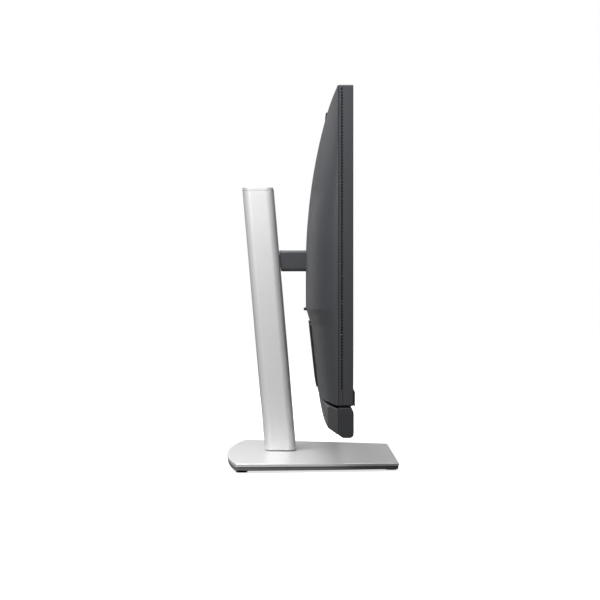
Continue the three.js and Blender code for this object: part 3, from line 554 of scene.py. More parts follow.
def base_half(inset, steps=14):
    """Right half of the base's outline from its front corner to the middle of its rear."""
    front = BASE_LOW.y + inset
    rear = BASE_HIGH.y - inset
    front_x = BASE_FRONT_HALF - inset
    side_x = BASE_HIGH.x - inset
    nose = 2.0
    half = [(front_x - nose, front)]
    half += quadratic(half[-1], (front_x, front), (front_x + 0.4, front + nose), 5)
    half += quadratic(half[-1], (front_x + 16, -15), (side_x, BASE_CORNER_Y - BASE_CORNER), steps)
    half += quadratic(
        half[-1], (side_x, BASE_CORNER_Y), (side_x - BASE_CORNER, BASE_CORNER_Y + 0.6 - inset / 4), 6)
    half += quadratic(half[-1], (BASE_HIGH.x / 2, rear), (0, rear), 2 * steps)
    return half


def base_top_at(x, y, half_width):
    """Height of the cover's top: highest round the column, level with the edge all round."""
    reach = BASE_CROWN_Y - BASE_LOW.y if y < BASE_CROWN_Y else BASE_HIGH.y - BASE_CROWN_Y
    rise = BASE_CROWN * (1 - ((y - BASE_CROWN_Y) / reach) ** 2)
    return BASE_EDGE_TOP + TOP_SLOPE * y + rise * (1 - (x / half_width) ** 2)


def cover_bottom_at(x, y, half_width):
    """Height of the seam between the cover and the tray."""
    return COVER_BOTTOM + COVER_SLOPE * y


def tray_bottom_at(x, y, half_width):
    """Height of the tray's underside."""
    return TRAY_BOTTOM + TRAY_SLOPE * y


def base_layer(name, levels, columns=28):
    """A layer of the base from (inset, height function, offset) levels, bottom first."""
    shares = [2 * i / columns - 1 for i in range(columns + 1)]
    rows = len(base_half(0)) - 1
    vertices = []
    for inset, height, offset in levels:
        outline = base_half(inset)
        for half_width, y in outline[:rows]:
            vertices += [(s * half_width, y, height(s * half_width, y, half_width) + offset) for s in shares]
        rear_y = outline[rows][1]
        vertices.append((0, rear_y, height(0, rear_y, 1) + offset))
    width = columns + 1
    count = rows * width + 1
    faces = []
    for layer, up in ((0, False), (len(levels) - 1, True)):
        grid = []
        for j in range(rows - 1):
            for i in range(columns):
                a = j * width + i
                grid.append((a, a + 1, a + 1 + width, a + width))
        grid += [((rows - 1) * width + i, (rows - 1) * width + i + 1, count - 1) for i in range(columns)]
        for face in grid:
            face = face if up else face[::-1]
            faces.append(tuple(layer * count + corner for corner in face))
    loop = list(range(columns)) + [j * width + columns for j in range(rows)] + [count - 1]
    loop += [j * width for j in range(rows - 1, 0, -1)]
    for layer in range(len(levels) - 1):
        low = layer * count
        high = low + count
        for k, a in enumerate(loop):
            b = loop[(k + 1) % len(loop)]
            faces.append((low + a, low + b, high + b, high + a))
    return new_object(name, vertices, faces)


def build_base():
    """Painted cover on a dark tray, with the swivel's opening in the cover."""
    top = BASE_HIGH.z
    levels = [(0.0, cover_bottom_at, 0.0)]
    for across, up in arc(0, 0, BASE_BEVEL, 0, 90, 5):
        levels.append((BASE_BEVEL - across, base_top_at, up - BASE_BEVEL))
    skin = 1.5
    wall = 3.0
    outer = base_layer("base_plate", levels)
    pocket = base_layer("pocket", [(wall, cover_bottom_at, -2.0), (wall, base_top_at, -skin)])
    hole_radius = box_mm("swivel_hub")[1].x + 0.6
    hole = rod("hole", "z", hole_radius, BASE_LOW.z, top + 5, 0, BASE_CROWN_Y, 64)
    carve(outer, pocket, hole)
    finish_piece(outer, MAT["satin_silver"], "base", "base_cover", slot="satin_silver")

    low = TRAY_LOW.z
    lip = 1.1
    levels = []
    for across, up in arc(0, 0, lip, -90, 0, 5):
        levels.append((BASE_BEVEL + lip - across, tray_bottom_at, lip + up))
    levels.append((BASE_BEVEL, cover_bottom_at, -GAP))
    tray = base_layer("base_foot_tray", levels)
    hole = rod("hole", "z", BEARING_HIGH.x, low - 2, top, 0, BASE_CROWN_Y, 64)
    pockets = []
    for name in FEET:
        corner_low, corner_high = box_mm(name)
        outline = rounded_rectangle(
            corner_low.x - GAP, corner_high.x + GAP, corner_low.y - GAP, corner_high.y + GAP,
            FOOT_CORNER)
        pockets.append(prism_z("foot_pocket", outline, low - 2, corner_high.z + GAP))
    carve(tray, hole, *pockets)
    finish_piece(tray, MAT["tray_plastic"], "base", "base_tray", slot="dark_shell")

    for name in FEET:
        corner_low, corner_high = box_mm(name)
        rings = []
        for across, up in arc(0, 0, FOOT_EDGE, -90, 0, 3):
            inset = FOOT_EDGE - across
            outline = rounded_rectangle(
                corner_low.x + inset, corner_high.x - inset,
                corner_low.y + inset, corner_high.y - inset, FOOT_CORNER - inset)
            rings.append([(x, y, corner_low.z + FOOT_EDGE + up) for x, y in outline])
        outline = rounded_rectangle(
            corner_low.x, corner_high.x, corner_low.y, corner_high.y, FOOT_CORNER)
        rings.append([(x, y, corner_high.z) for x, y in outline])
        pad = loft("pad_" + name, rings)
        finish_piece(pad, MAT["foot_rubber"], "base", name, slot="foot_rubber")


def box_middle(name):
    """Middle of a CAD node's box in millimetres."""
    low, high = box_mm(name)
    return (low + high) / 2


# ---------------------------------------------------------------- column

LEAN = 0.0867
COLUMN_HALF_X = COLUMN_HIGH.x
COLUMN_HALF_Y = 18.5
COLUMN_CORNER = 9.0
COLUMN_BOW = 1.4
COLUMN_WALL = 2.0
CAP_HEIGHT = 3.6
CAP_EDGE = 0.35
SEAM_EDGE = 0.25
COLUMN_FOOT_Y = COLUMN_LOW.y + COLUMN_HALF_Y


def column_y(z):
    """Middle of the leaning column at a height."""
    return COLUMN_FOOT_Y + LEAN * (z - COLUMN_LOW.z)


def column_section(inset, steps=10):
    """Cross-section of the column about its own middle: round corners and a bowed rear."""
    x = COLUMN_HALF_X - inset
    front = -COLUMN_HALF_Y + inset
    rear = COLUMN_HALF_Y - COLUMN_BOW - inset
    radius = COLUMN_CORNER - inset
    points = arc(x - radius, front + radius, radius, -90, 0, steps)
    points += arc(x - radius, rear - radius, radius, 0, 90, steps)
    points += quadratic(points[-1], (0, rear + 2 * COLUMN_BOW), (-x + radius, rear), 2 * steps)[:-1]
    points += arc(-x + radius, rear - radius, radius, 90, 180, steps)
    points += arc(-x + radius, front + radius, radius, 180, 270, steps)
    return points


def column_rings(levels, steps=10):
    """Rings of the column's section at (height, inset) levels."""
    return [
        [(x, y + column_y(z), z) for x, y in column_section(inset, steps)] for z, inset in levels
    ]


DUCT_HALF_X = 17.0
DUCT_HALF_Z = 23.0
DUCT_SLOPE = -1.1756
DUCT_LINER = 1.5
DUCT_Y = 23.9
DUCT_Z = 96.0


def duct(name, grow):
    """The sloping cable passage, grown all round, as a solid."""
    x = DUCT_HALF_X + grow
    z = DUCT_HALF_Z + grow
    outline = rounded_rectangle(-x, x, -z, z, 8 + grow, 10)
    rings = []
    for y in (-40.0, 90.0):
        middle = DUCT_Z + DUCT_SLOPE * (y - DUCT_Y)
        rings.append([(a, y, b + middle) for a, b in outline])
    return loft(name, rings)


def build_column():
    """Painted tube with a slot for the carriage and a lined cable passage, under a thin cap."""
    bottom = COLUMN_LOW.z
    top = COLUMN_HIGH.z
    levels = [(bottom, CAP_EDGE), (bottom + CAP_EDGE, 0), (top - SEAM_EDGE, 0), (top, SEAM_EDGE)]
    outer = loft("column_tube", column_rings(levels))
    inside = loft("inside", column_rings([(bottom - 5, COLUMN_WALL), (top + 5, COLUMN_WALL)]))
    slot_rings = []
    slot = rounded_rectangle(-15, 15, 200, 315, 4, 6)
    for local in (-40, 0):
        slot_rings.append([(x, local + column_y(z), z) for x, z in slot])
    carve(outer, inside, loft("slot", slot_rings), duct("passage", DUCT_LINER + GAP))
    finish_piece(outer, MAT["satin_silver"], "column", "column_shell", slot="satin_silver")

    cap_bottom = CAP_HIGH.z - CAP_HEIGHT
    levels = [(cap_bottom, SEAM_EDGE), (cap_bottom + SEAM_EDGE, 0.0)]
    for across, up in arc(0, 0, CAP_EDGE, 0, 90, 6):
        levels.append((CAP_HIGH.z - CAP_EDGE + up, CAP_EDGE - across))
    cap = loft("column_lid", column_rings(levels))
    finish_piece(cap, MAT["satin_silver"], "column", "column_cap", slot="satin_silver")

    liner = duct("cable_liner", DUCT_LINER)
    levels = [(bottom, -0.05), (top, -0.05)]
    shell = loft("shell", column_rings(levels))
    carve(liner, shell, operation="INTERSECT")
    carve(liner, duct("bore", 0))
    finish_piece(liner, MAT["grey_plastic"], "column", "cable_guide", slot="grey_plastic")


# ---------------------------------------------------------------- arm

def arm_ring(inset, y_at, steps=6):
    """Ring of the arm's round-cornered section; y_at gives its depth at a height."""
    radius = 3.2 - inset
    outline = rounded_rectangle(
        ARM_LOW.x + inset, ARM_HIGH.x - inset, ARM_LOW.z + inset, ARM_HIGH.z - inset, radius, steps)
    return [(x, y_at(z), z) for x, z in outline]


def arm_piece(name, levels, *replaced):
    """A sleeve of the arm, hollow round its cast core, from (inset, y function) levels."""
    sleeve = loft(name, [arm_ring(inset, y_at) for inset, y_at in levels])
    low, high = box_mm("arm_core")
    core = prism_y("core", rounded_rectangle(
        -14 - GAP, 14 + GAP, HINGE_Z - 7.3 - GAP, HINGE_Z + 7.3 + GAP, 1, 3), low.y - 30, high.y + 40)
    carve(sleeve, core)
    return finish_piece(sleeve, MAT["dark_shell"], "carriage", *replaced, slot="dark_shell")


HINGE_Z = box_middle("tilt_pin").z


def build_arm():
    """Dark sleeve between the head and the column."""
    rear = -COLUMN_HALF_Y - 0.7

    def along(local):
        return lambda z: column_y(z) + local

    def front(y):
        return lambda z: y

    start = ARM_LOW.y
    edge = 0.7
    arm_piece("arm_sleeve", [
        (edge, front(start)), (edge * 0.3, front(start + edge * 0.3)), (0, front(start + edge)),
        (0, along(rear - edge)), (edge * 0.3, along(rear - edge * 0.3)), (edge, along(rear)),
    ], "arm_cover", "arm_collar")


# ---------------------------------------------------------------- head shells

COVER_WALL = 2.2
RIM_DEPTH = 12.6
GROOVE_FRONT = 14.3
GROOVE_REAR = 15.1
GROOVE_INSET = 0.7
TOP_FILLET = 1.0
UNDER_START = 15.5
UNDER_END = 24.0
UNDER_LIFT = 2.6
CROWN_DEPTH = 46.2
CROWN_TOP = 235
CROWN_RADIUS_TERM = 1240
SIDE_DEPTH = 14.3
STEP_TOP = 181.0
STEP_BOTTOM = 164.4
STEP_SLOPE = 0.31
LOW_SLOPE = 0.108


def cover_depth(x, z):
    """Depth of the crowned rear surface behind the front face."""
    centre = CROWN_DEPTH
    if z > CROWN_TOP:
        centre -= (z - CROWN_TOP) ** 2 / CROWN_RADIUS_TERM
    centre -= STEP_SLOPE * max(0.0, STEP_TOP - max(z, STEP_BOTTOM))
    centre -= LOW_SLOPE * max(0.0, STEP_BOTTOM - z)
    rise = max(0.0, (z - CROWN_TOP) / (HEAD_TOP - CROWN_TOP))
    side = SIDE_DEPTH + 1.5 * rise
    power = 4.35 - 2.85 * rise ** 2
    root = 0.5 + 0.5 * rise ** 2
    across = min(1.0, abs(x) / HEAD_HALF)
    return side + (centre - side) * (1 - across ** power) ** root


def underside(depth):
    """Height of the head's underside at a depth."""
    share = min(1.0, max(0.0, (depth - UNDER_START) / (UNDER_END - UNDER_START)))
    return HEAD_BOTTOM + UNDER_LIFT * share


def head_half_at(z, inset=0.0):
    """Half the head's width at a height, round its corners."""
    half = HEAD_HALF - inset
    radius = HEAD_CORNER - min(inset, HEAD_CORNER - 1.5)
    high = HEAD_TOP - inset - radius
    low = HEAD_BOTTOM + inset + radius
    beyond = max(0.0, z - high, low - z)
    beyond = min(beyond, radius)
    return half - radius + math.sqrt(radius ** 2 - beyond ** 2)


def head_outline(inset, steps=8):
    """Outline of the head from the front, set in all round."""
    x = HEAD_HALF - inset
    radius = max(1.5, HEAD_CORNER - inset)
    return rounded_rectangle(-x, x, HEAD_BOTTOM + inset, HEAD_TOP - inset, radius, steps)


def head_ring(inset, depth, steps=8):
    """Ring of the head's outline at a depth."""
    return [(x, FRONT_Y + depth, z) for x, z in head_outline(inset, steps)]


def row_shares(rows):
    """Even shares from 0 to 1 with extra rows in the top and bottom edges."""
    height = HEAD_TOP - HEAD_BOTTOM
    shares = [i / rows for i in range(rows + 1)]
    for angle in range(10, 90, 13):
        shares.append(1 - TOP_FILLET * (1 - math.sin(math.radians(angle))) / height)
        shares.append(HEAD_CORNER * (1 - math.sin(math.radians(angle))) / height)
    low = HEAD_BOTTOM + UNDER_LIFT
    for z in (STEP_TOP, STEP_BOTTOM):
        for shift in (-0.5, 0.5):
            shares.append((z + shift - low) / (HEAD_TOP - low))
    return sorted(set(shares))


def crown(name, inset, front, columns, rows, grooved):
    """The solid between the depth `front` and the crowned rear surface, set in by `inset`."""
    shares = row_shares(rows)
    points = []
    for t in shares:
        for i in range(columns + 1):
            x = HEAD_HALF * math.sin(math.pi * (i / columns - 0.5))
            low = underside(cover_depth(x, HEAD_BOTTOM + 3)) + inset
            z = low + (HEAD_TOP - inset - low) * t
            depth = cover_depth(x, z)
            above = z + inset - (HEAD_TOP - TOP_FILLET)
            if above > 0:
                depth -= TOP_FILLET - math.sqrt(max(0.0, TOP_FILLET ** 2 - above ** 2))
            depth = max(depth, GROOVE_REAR + 0.1) - inset
            wide = head_half_at(z, inset) / HEAD_HALF
            points.append((x * wide, FRONT_Y + depth, z))
    across = columns + 1
    tall = len(shares)
    faces = []
    for j in range(tall - 1):
        for i in range(columns):
            a = j * across + i
            faces.append((a, a + across, a + across + 1, a + 1))
    loop = [i for i in range(columns)]
    loop += [j * across + columns for j in range(tall - 1)]
    loop += [(tall - 1) * across + i for i in range(columns, 0, -1)]
    loop += [j * across for j in range(tall - 1, 0, -1)]
    levels = [(UNDER_END, 0), (20.0, 0), (UNDER_START + 0.2, 0)]
    if grooved:
        levels += [
            (GROOVE_REAR, 0), (GROOVE_REAR - 0.25, GROOVE_INSET),
            (GROOVE_FRONT + 0.25, GROOVE_INSET), (GROOVE_FRONT, 0),
        ]
    levels.append((front, 0))
    ring = loop
    radius = max(1.5, HEAD_CORNER - inset)
    inner_x = HEAD_HALF - inset - radius
    inner_low = HEAD_BOTTOM + inset + radius
    inner_high = HEAD_TOP - inset - radius
    for level, set_in in levels:
        following = []
        for index in loop:
            x, y, z = points[index]
            start = y - FRONT_Y
            depth = min(level, start)
            if index < across:
                z -= underside(start) - underside(depth)
            nearest = Vector((min(inner_x, max(-inner_x, x)), min(inner_high, max(inner_low, z))))
            outward = Vector((x, z)) - nearest
            if outward.length > 0:
                outward.normalize()
            following.append(len(points))
            points.append((x - outward.x * set_in, FRONT_Y + depth, z - outward.y * set_in))
        for k in range(len(ring)):
            n = (k + 1) % len(ring)
            faces.append((ring[k], ring[n], following[n], following[k]))
        ring = following
    faces.append(tuple(ring))
    return recalculate(new_object(name, points, faces))


RECESS_HALF = 60.0
RECESS_LOW = 185.5
RECESS_HIGH = 296.0
RECESS_FLOOR = 16.5
RECESS_WALL = 1.5


def recess_solid(name, grow, floor, radius=7.0):
    """The recess for the stand plate as a solid open to the rear."""
    half = RECESS_HALF + grow
    outline = rounded_rectangle(-half, half, RECESS_LOW - grow, RECESS_HIGH + grow, radius + grow, 8)
    return prism_y(name, outline, FRONT_Y + floor, FRONT_Y + 70)


def build_rear_cover():
    """Crowned rear cover with its recess and openings."""
    outer = crown("back_cover", 0.0, RIM_DEPTH, 84, 60, True)
    inner = crown("inner", COVER_WALL, FRAME_DEPTH - 5, 56, 36, False)
    carve(inner, recess_solid("tub", RECESS_WALL, RECESS_FLOOR - 2))
    slot = box_object(
        "webcam_slot", -28.5, 28.5, FRONT_Y, FRONT_Y + 20.3, HEAD_TOP - 10, HEAD_TOP + 5)
    window = box_object(
        "window", IO_LOW.x - GAP, IO_HIGH.x + GAP, FRONT_Y + 30, FRONT_Y + 60,
        IO_LOW.z - 2 * GAP, IO_HIGH.z + 2 * GAP)
    release = prism_y("release", rounded_rectangle(
        RELEASE_LOW.x - 0.4, RELEASE_HIGH.x + 0.4,
        RELEASE_LOW.z - 0.35, RELEASE_HIGH.z + 0.35, 1.7), FRONT_Y + 35, FRONT_Y + 60)
    power_middle = box_middle("power_button")
    power = rod("power", "y", POWER_HIGH.x - power_middle.x + 0.4,
                FRONT_Y + 20, FRONT_Y + 60, power_middle.x, power_middle.z)
    brackets = []
    for name in ("bar_bracket_left", "bar_bracket_right"):
        low, high = box_mm(name)
        brackets.append(box_object(
            "bracket_room", low.x - GAP, high.x + GAP, low.y - GAP, high.y + GAP, low.z, high.z))
    carve(outer, inner, recess_solid("recess", 0, RECESS_FLOOR), slot, window, release, power, *brackets)
    finish_piece(outer, MAT["dark_shell"], "head", "rear_cover", slot="dark_shell", angle=30)


VENT_PITCH = 3.09
VENT_TOP = 401.6
VENT_COUNT = 98
VENT_STRETCH = 1.35
BAND_WALL = 1.5


def band_points(path, name):
    """Strip between the frame and the cover along part of the head's outline, without vents."""
    front = FRAME_DEPTH + GAP
    rings = []
    for x, z, outward in path:
        inner_x = x - outward[0] * BAND_WALL
        inner_z = z - outward[1] * BAND_WALL
        rings.append([
            (x, FRONT_Y + front, z), (x, FRONT_Y + RIM_DEPTH, z),
            (inner_x, FRONT_Y + RIM_DEPTH, inner_z), (inner_x, FRONT_Y + front, inner_z),
        ])
    return loft(name, rings)


def vent_strip(side):
    """Row of air vents down one side: round holes in the strip behind the frame, and a near-black sheet
    behind the holes as painted shade.
    """
    front = FRAME_DEPTH + GAP
    middle = (front + RIM_DEPTH) / 2
    half_depth = (RIM_DEPTH - front) / 2
    radius = half_depth - 0.06
    half_pitch = VENT_PITCH / 2
    steps = 24
    vertices = []
    faces = []
    for index in range(VENT_COUNT):
        height = VENT_TOP - index * VENT_PITCH
        start = len(vertices)
        for inset in (0.0, BAND_WALL):
            for scale in (0, 1):
                for k in range(steps):
                    angle = 2 * math.pi * k / steps
                    along, up = math.cos(angle), math.sin(angle)
                    if scale:
                        reach = min(half_depth / max(1e-6, abs(along)), half_pitch / max(1e-6, abs(up)))
                    else:
                        reach = radius
                    stretch = 1 if scale else VENT_STRETCH
                    z = height + up * reach * stretch
                    vertices.append((side * (HEAD_HALF - inset), FRONT_Y + middle + along * reach, z))
        for k in range(steps):
            n = (k + 1) % steps
            hole, rim, deep_hole, deep_rim = (start + part * steps for part in range(4))
            faces.append((hole + k, hole + n, rim + n, rim + k))
            faces.append((deep_hole + k, deep_rim + k, deep_rim + n, deep_hole + n))
            faces.append((hole + k, deep_hole + k, deep_hole + n, hole + n))
            faces.append((rim + k, rim + n, deep_rim + n, deep_rim + k))
    label = "left" if side < 0 else "right"
    strip = recalculate(new_object("vent_strip_" + label, vertices, faces))
    finish_piece(strip, MAT["dark_shell"], "head", slot="dark_shell", angle=40, weighted=False)
    # Near-black sheet just inside the strip: painted shade that darkens the vent holes, where there is only
    # the dark inside of the head.
    near = side * (HEAD_HALF - BAND_WALL - 0.05)
    far = side * (HEAD_HALF - BAND_WALL - 0.6)
    screen = box_object(
        "vent_shade_sheet_" + label, min(near, far), max(near, far), FRONT_Y + front, FRONT_Y + RIM_DEPTH - 0.1,
        VENT_TOP - (VENT_COUNT - 0.5) * VENT_PITCH, VENT_TOP + VENT_PITCH / 2)
    finish_piece(screen, MAT["vent_shade_black"], "head", slot="black_plastic")


def outline_stretch(upper):
    """Points and outward directions round the top or the bottom of the head, between the vents."""
    limit = VENT_TOP + VENT_PITCH / 2 if upper else VENT_TOP - (VENT_COUNT - 0.5) * VENT_PITCH
    inner_x = HEAD_HALF - HEAD_CORNER
    inner_low = HEAD_BOTTOM + HEAD_CORNER
    inner_high = HEAD_TOP - HEAD_CORNER
    points = [(head_half_at(limit), limit), (-head_half_at(limit), limit)]
    for x, z in head_outline(0, 10):
        if (z > limit) if upper else (z < limit):
            points.append((x, z))
    middle = Vector((0, inner_high - 40 if upper else inner_low + 40))
    points.sort(key=lambda point: math.atan2(point[0], (point[1] - middle.y) * (1 if upper else -1)))
    path = []
    for x, z in points:
        nearest = Vector((min(inner_x, max(-inner_x, x)), min(inner_high, max(inner_low, z))))
        outward = (Vector((x, z)) - nearest).normalized()
        path.append((x, z, (outward.x, outward.y)))
    return path


def build_front_frame():
    """Frame round the screen with a rounded front edge, and the strip with vents behind it."""
    edge = 0.9
    wall = 3.0
    rear = FRAME_DEPTH
    profile = [(wall, rear), (wall, 0.25), (wall - 0.25, 0.0)]
    profile += [(edge - across, edge - up) for across, up in arc(0, 0, edge, 90, 0, 6)]
    profile += [(0.0, rear - 0.2), (0.2, rear)]
    rings = [head_ring(inset, depth) for inset, depth in profile]
    rim = loft("screen_frame", rings, closed=True)
    finish_piece(rim, MAT["dark_shell"], "head", "front_frame", slot="dark_shell", angle=40)
    vent_strip(-1)
    vent_strip(1)
    for label, upper in (("top", True), ("bottom", False)):
        strip = band_points(outline_stretch(upper), "band_" + label)
        finish_piece(strip, MAT["dark_shell"], "head", slot="dark_shell", angle=40)


def end_levels(half, edge, steps=4):
    """Places along a bar and the inset there, so that both ends are rounded."""
    start = [(-half + edge * (1 - math.sin(a)), edge * (1 - math.cos(a)))
             for a in [math.pi / 2 * k / steps for k in range(steps, -1, -1)]]
    return start + [(-x, inset) for x, inset in reversed(start)]


def build_chin():
    """Strip under the screen with rounded edges."""
    edge = 0.45
    rings = []
    for x, inset in end_levels(CHIN_HIGH.x, edge):
        outline = rounded_rectangle(
            CHIN_LOW.y + inset, CHIN_HIGH.y - min(inset, 0.1),
            CHIN_LOW.z + inset, CHIN_HIGH.z - inset, edge - inset * 0.5, 4)
        rings.append([(x, y, z) for y, z in outline])
    strip = loft("chin_strip", rings)
    finish_piece(strip, MAT["dark_shell"], "head", "chin_bezel", slot="dark_shell")


# ---------------------------------------------------------------- speaker bar

BAR_SEAM = 14.8
BAR_WALL = 2.5
BAR_REAR = 25.8
BAR_BULGE = 6.2
BAR_FOOT_BULGE = 2.4
BAR_FOOT = 62.8
BAR_CHAMFER = 55.3
BAR_TOP_SEAM = 81.6
BAR_TOP_REAR = 85.0
BAR_TOP_RISE = 1.3
STEM_HALF = 28
STEM_FRONT = 12.2
STEM_REAR = 19.9
KEY_NAMES = ("mute_button", "volume_down_button", "volume_up_button", "call_button")


def bar_front_outline(inset):
    """Outline of the cloth-covered front in depth and height."""
    front = BAR_LOW.y - FRONT_Y + inset
    rear = BAR_SEAM - GAP / 2 - inset * 0.5
    top = BAR_HIGH.z - inset
    low = BAR_LOW.z + inset
    corners = [
        (10.5, low, 3), (rear, low + 2.9, 0.3), (rear, top, 0.5),
        (front, top, 6.5 - inset), (front, low, 5 - inset),
    ]
    return [(FRONT_Y + depth, z) for depth, z in rounded_polygon(corners, 9)]


def build_bar_front():
    """Front of the speaker bar with cloth wrapped round its ends, and holes for the keys."""
    rings = [[(x, y, z) for y, z in bar_front_outline(inset)] for x, inset in end_levels(BAR_HIGH.x, 0.9)]
    front = loft("bar_cloth", rings)
    room = box_object(
        "room", BAR_LOW.x + BAR_WALL, BAR_HIGH.x - BAR_WALL,
        FRONT_Y + 3, FRONT_Y + 40, 57, 79)
    holes = []
    for name in KEY_NAMES:
        middle = box_middle(name)
        _, high = box_mm(name)
        holes.append(rod("key_hole", "y", high.x - middle.x + 0.35,
                         FRONT_Y - 10, FRONT_Y + 10, middle.x, middle.z, 40))
    brackets = [bracket_room(name) for name in BRACKETS]
    carve(front, room, *holes, *brackets)
    finish_piece(front, MAT["speaker_cloth"], "head", "bar_grille", slot="speaker_cloth")


BRACKETS = ("bar_bracket_left", "bar_bracket_right")


def bracket_room(name):
    """Clearance round one bracket between the head and the bar."""
    low, high = box_mm(name)
    return box_object("bracket_room", low.x - GAP, high.x + GAP, low.y - GAP, high.y + GAP, low.z, high.z)


def housing_outline(x, inset):
    """Outline of the plain rear of the bar in depth and height, where its back swells."""
    seam = BAR_SEAM + GAP / 2 + inset * 0.5
    swell = 1 - min(1.0, abs(x) / HEAD_HALF) ** 4
    rear = BAR_REAR + BAR_BULGE * swell - inset
    top = BAR_TOP_REAR + BAR_TOP_RISE * swell - inset
    corners = [
        (seam, BAR_CHAMFER + inset, 0.2),
        (BAR_REAR + BAR_FOOT_BULGE * swell - inset, BAR_FOOT + inset, 3.5),
        (rear, top, 1.3), (seam, BAR_TOP_SEAM - inset, 0.3),
    ]
    return [(FRONT_Y + depth, z) for depth, z in rounded_polygon(corners, 7)]


def build_bar_housing():
    """Rear of the speaker bar: moulded housing with a swelling back."""
    stations = []
    for k in range(41):
        stations.append((HEAD_HALF - 0.8) * math.sin(math.pi * (k / 40 - 0.5)))
    ends = [level for level in end_levels(HEAD_HALF, 0.8) if abs(level[0]) > HEAD_HALF - 0.8]
    levels = [level for level in ends if level[0] < 0]
    levels += [(x, 0.0) for x in stations]
    levels += [level for level in ends if level[0] > 0]
    rings = [[(x, y, z) for y, z in housing_outline(x, inset)] for x, inset in levels]
    housing = loft("bar_back", rings)
    room = box_object(
        "room", BAR_LOW.x + BAR_WALL, BAR_HIGH.x - BAR_WALL,
        FRONT_Y + 10, FRONT_Y + 22.5, 62.6, 79.5)
    carve(housing, room, *[bracket_room(name) for name in BRACKETS])
    finish_piece(housing, MAT["bar_shell"], "head", "bar_housing", slot="bar_shell")


# ---------------------------------------------------------------- camera and buttons

def rounded_block(name, low, high, edge, radius, along="z", steps=4):
    """A block with round corners in one direction and round edges at its ends."""
    axis = {"x": 0, "y": 1, "z": 2}[along]
    others = [k for k in range(3) if k != axis]
    rings = []
    levels = [(math.pi / 2 * k / steps) for k in range(steps + 1)]
    bottom = [(low[axis] + edge * (1 - math.sin(a)), edge * (1 - math.cos(a))) for a in reversed(levels)]
    top = [(high[axis] - edge * (1 - math.sin(a)), edge * (1 - math.cos(a))) for a in levels]
    for place_along, inset in sorted(set(bottom)) + sorted(set(top)):
        outline = rounded_rectangle(
            low[others[0]] + inset, high[others[0]] - inset,
            low[others[1]] + inset, high[others[1]] - inset, max(0.2, radius - inset), 6)
        ring = []
        for a, b in outline:
            point = [0.0, 0.0, 0.0]
            point[axis] = place_along
            point[others[0]] = a
            point[others[1]] = b
            ring.append(tuple(point))
        rings.append(ring)
    return loft(name, rings)


def build_webcam():
    """Pop-up camera: a stem with its lens window under a cap that lies on the head's top edge."""
    cap_low = Vector((WEBCAM_LOW.x, WEBCAM_LOW.y, HEAD_TOP + GAP))
    cap = rounded_block("cap", cap_low, WEBCAM_HIGH, 1.3, 5.5)
    stem_low = Vector((-STEM_HALF, FRONT_Y + STEM_FRONT, WEBCAM_LOW.z))
    stem_high = Vector((STEM_HALF, FRONT_Y + STEM_REAR, HEAD_TOP + 2))
    stem = rounded_block("camera_body", stem_low, stem_high, 0.6, 1.5)
    carve(stem, cap, operation="UNION")
    lens_low, lens_high = box_mm("webcam_lens")
    middle = (lens_low + lens_high) / 2
    radius = lens_high.x - middle.x + GAP
    carve(stem, rod("bore", "y", radius, FRONT_Y, stem_low.y + 3, middle.x, middle.z, 48))
    finish_piece(stem, MAT["black_plastic"], "webcam", "webcam_housing", slot="black_plastic")
    radius -= GAP
    glass = lathe("camera_glass", [
        (0, lens_low.y), (radius * 0.5, lens_low.y + 0.02), (radius - 0.35, lens_low.y + 0.12),
        (radius, lens_low.y + 0.45), (radius, lens_high.y), (0, lens_high.y),
    ], "y", (middle.x, 0, middle.z), 48)
    finish_piece(glass, MAT["lens_glass"], "webcam", "webcam_lens", slot="lens_glass")


def build_buttons():
    """Release button, power button and the four keys in the speaker bar."""
    release = rounded_block("release_key", RELEASE_LOW, RELEASE_HIGH, 0.5, 1.5, "y")
    finish_piece(release, MAT["black_plastic"], "release", "release_button", slot="black_plastic")
    middle = box_middle("power_button")
    radius = POWER_HIGH.x - middle.x
    low, high = POWER_LOW.y, POWER_HIGH.y
    power = lathe("power_key", [
        (0, low), (radius, low), (radius, high - 0.5), (radius - 0.15, high - 0.15), (radius - 0.5, high),
        (radius - 1.4, high), (radius - 1.6, high - 0.15), (radius * 0.3, high - 0.35), (0, high - 0.38),
    ], "y", (middle.x, 0, middle.z), 48)
    finish_piece(power, MAT["black_plastic"], "power", "power_button", slot="black_plastic")
    for name in KEY_NAMES:
        middle = box_middle(name)
        low, high = box_mm(name)
        radius = high.x - middle.x
        key = lathe("cap_" + name, [
            (0, low.y + 0.3), (radius * 0.5, low.y + 0.22),
            (radius - 0.9, low.y + 0.05), (radius - 0.6, low.y),
            (radius - 0.25, low.y + 0.08), (radius, low.y + 0.4), (radius, high.y), (0, high.y),
        ], "y", (middle.x, 0, middle.z), 40)
        body = name.replace("_button", "")
        finish_piece(key, MAT["key_plastic"], body, name, slot="key_plastic")


# ---------------------------------------------------------------- pieces that keep their CAD shape

KEPT = {
    "steel": (
        "base_weight", "swivel_hub", "swivel_retainer", "swivel_bolt", "guide_rail_left", "guide_rail_right",
        "lift_spring", "tilt_bracket", "tilt_pin", "tilt_spring", "level_disc",
    ),
    "socket_steel": (
        "power_inlet", "video_socket_left", "video_socket_right", "usb_socket_left", "usb_socket_right",
        "network_socket",
    ),
    "cast_aluminium": ("column_foot", "carriage", "arm_core", "panel_chassis"),
    "black_plastic": (
        "swivel_bearing", "glide_pad_left", "glide_pad_right", "spring_drum", "io_panel", "bar_bracket_left",
        "bar_bracket_right", "speaker_left", "speaker_right", "webcam_guide",
    ),
    "dark_shell": ("stand_plate",),
    "diffuser": ("backlight_stack",),
    "circuit_board": ("main_board", "power_board"),
    "screen_film": ("lcd_panel",),
}


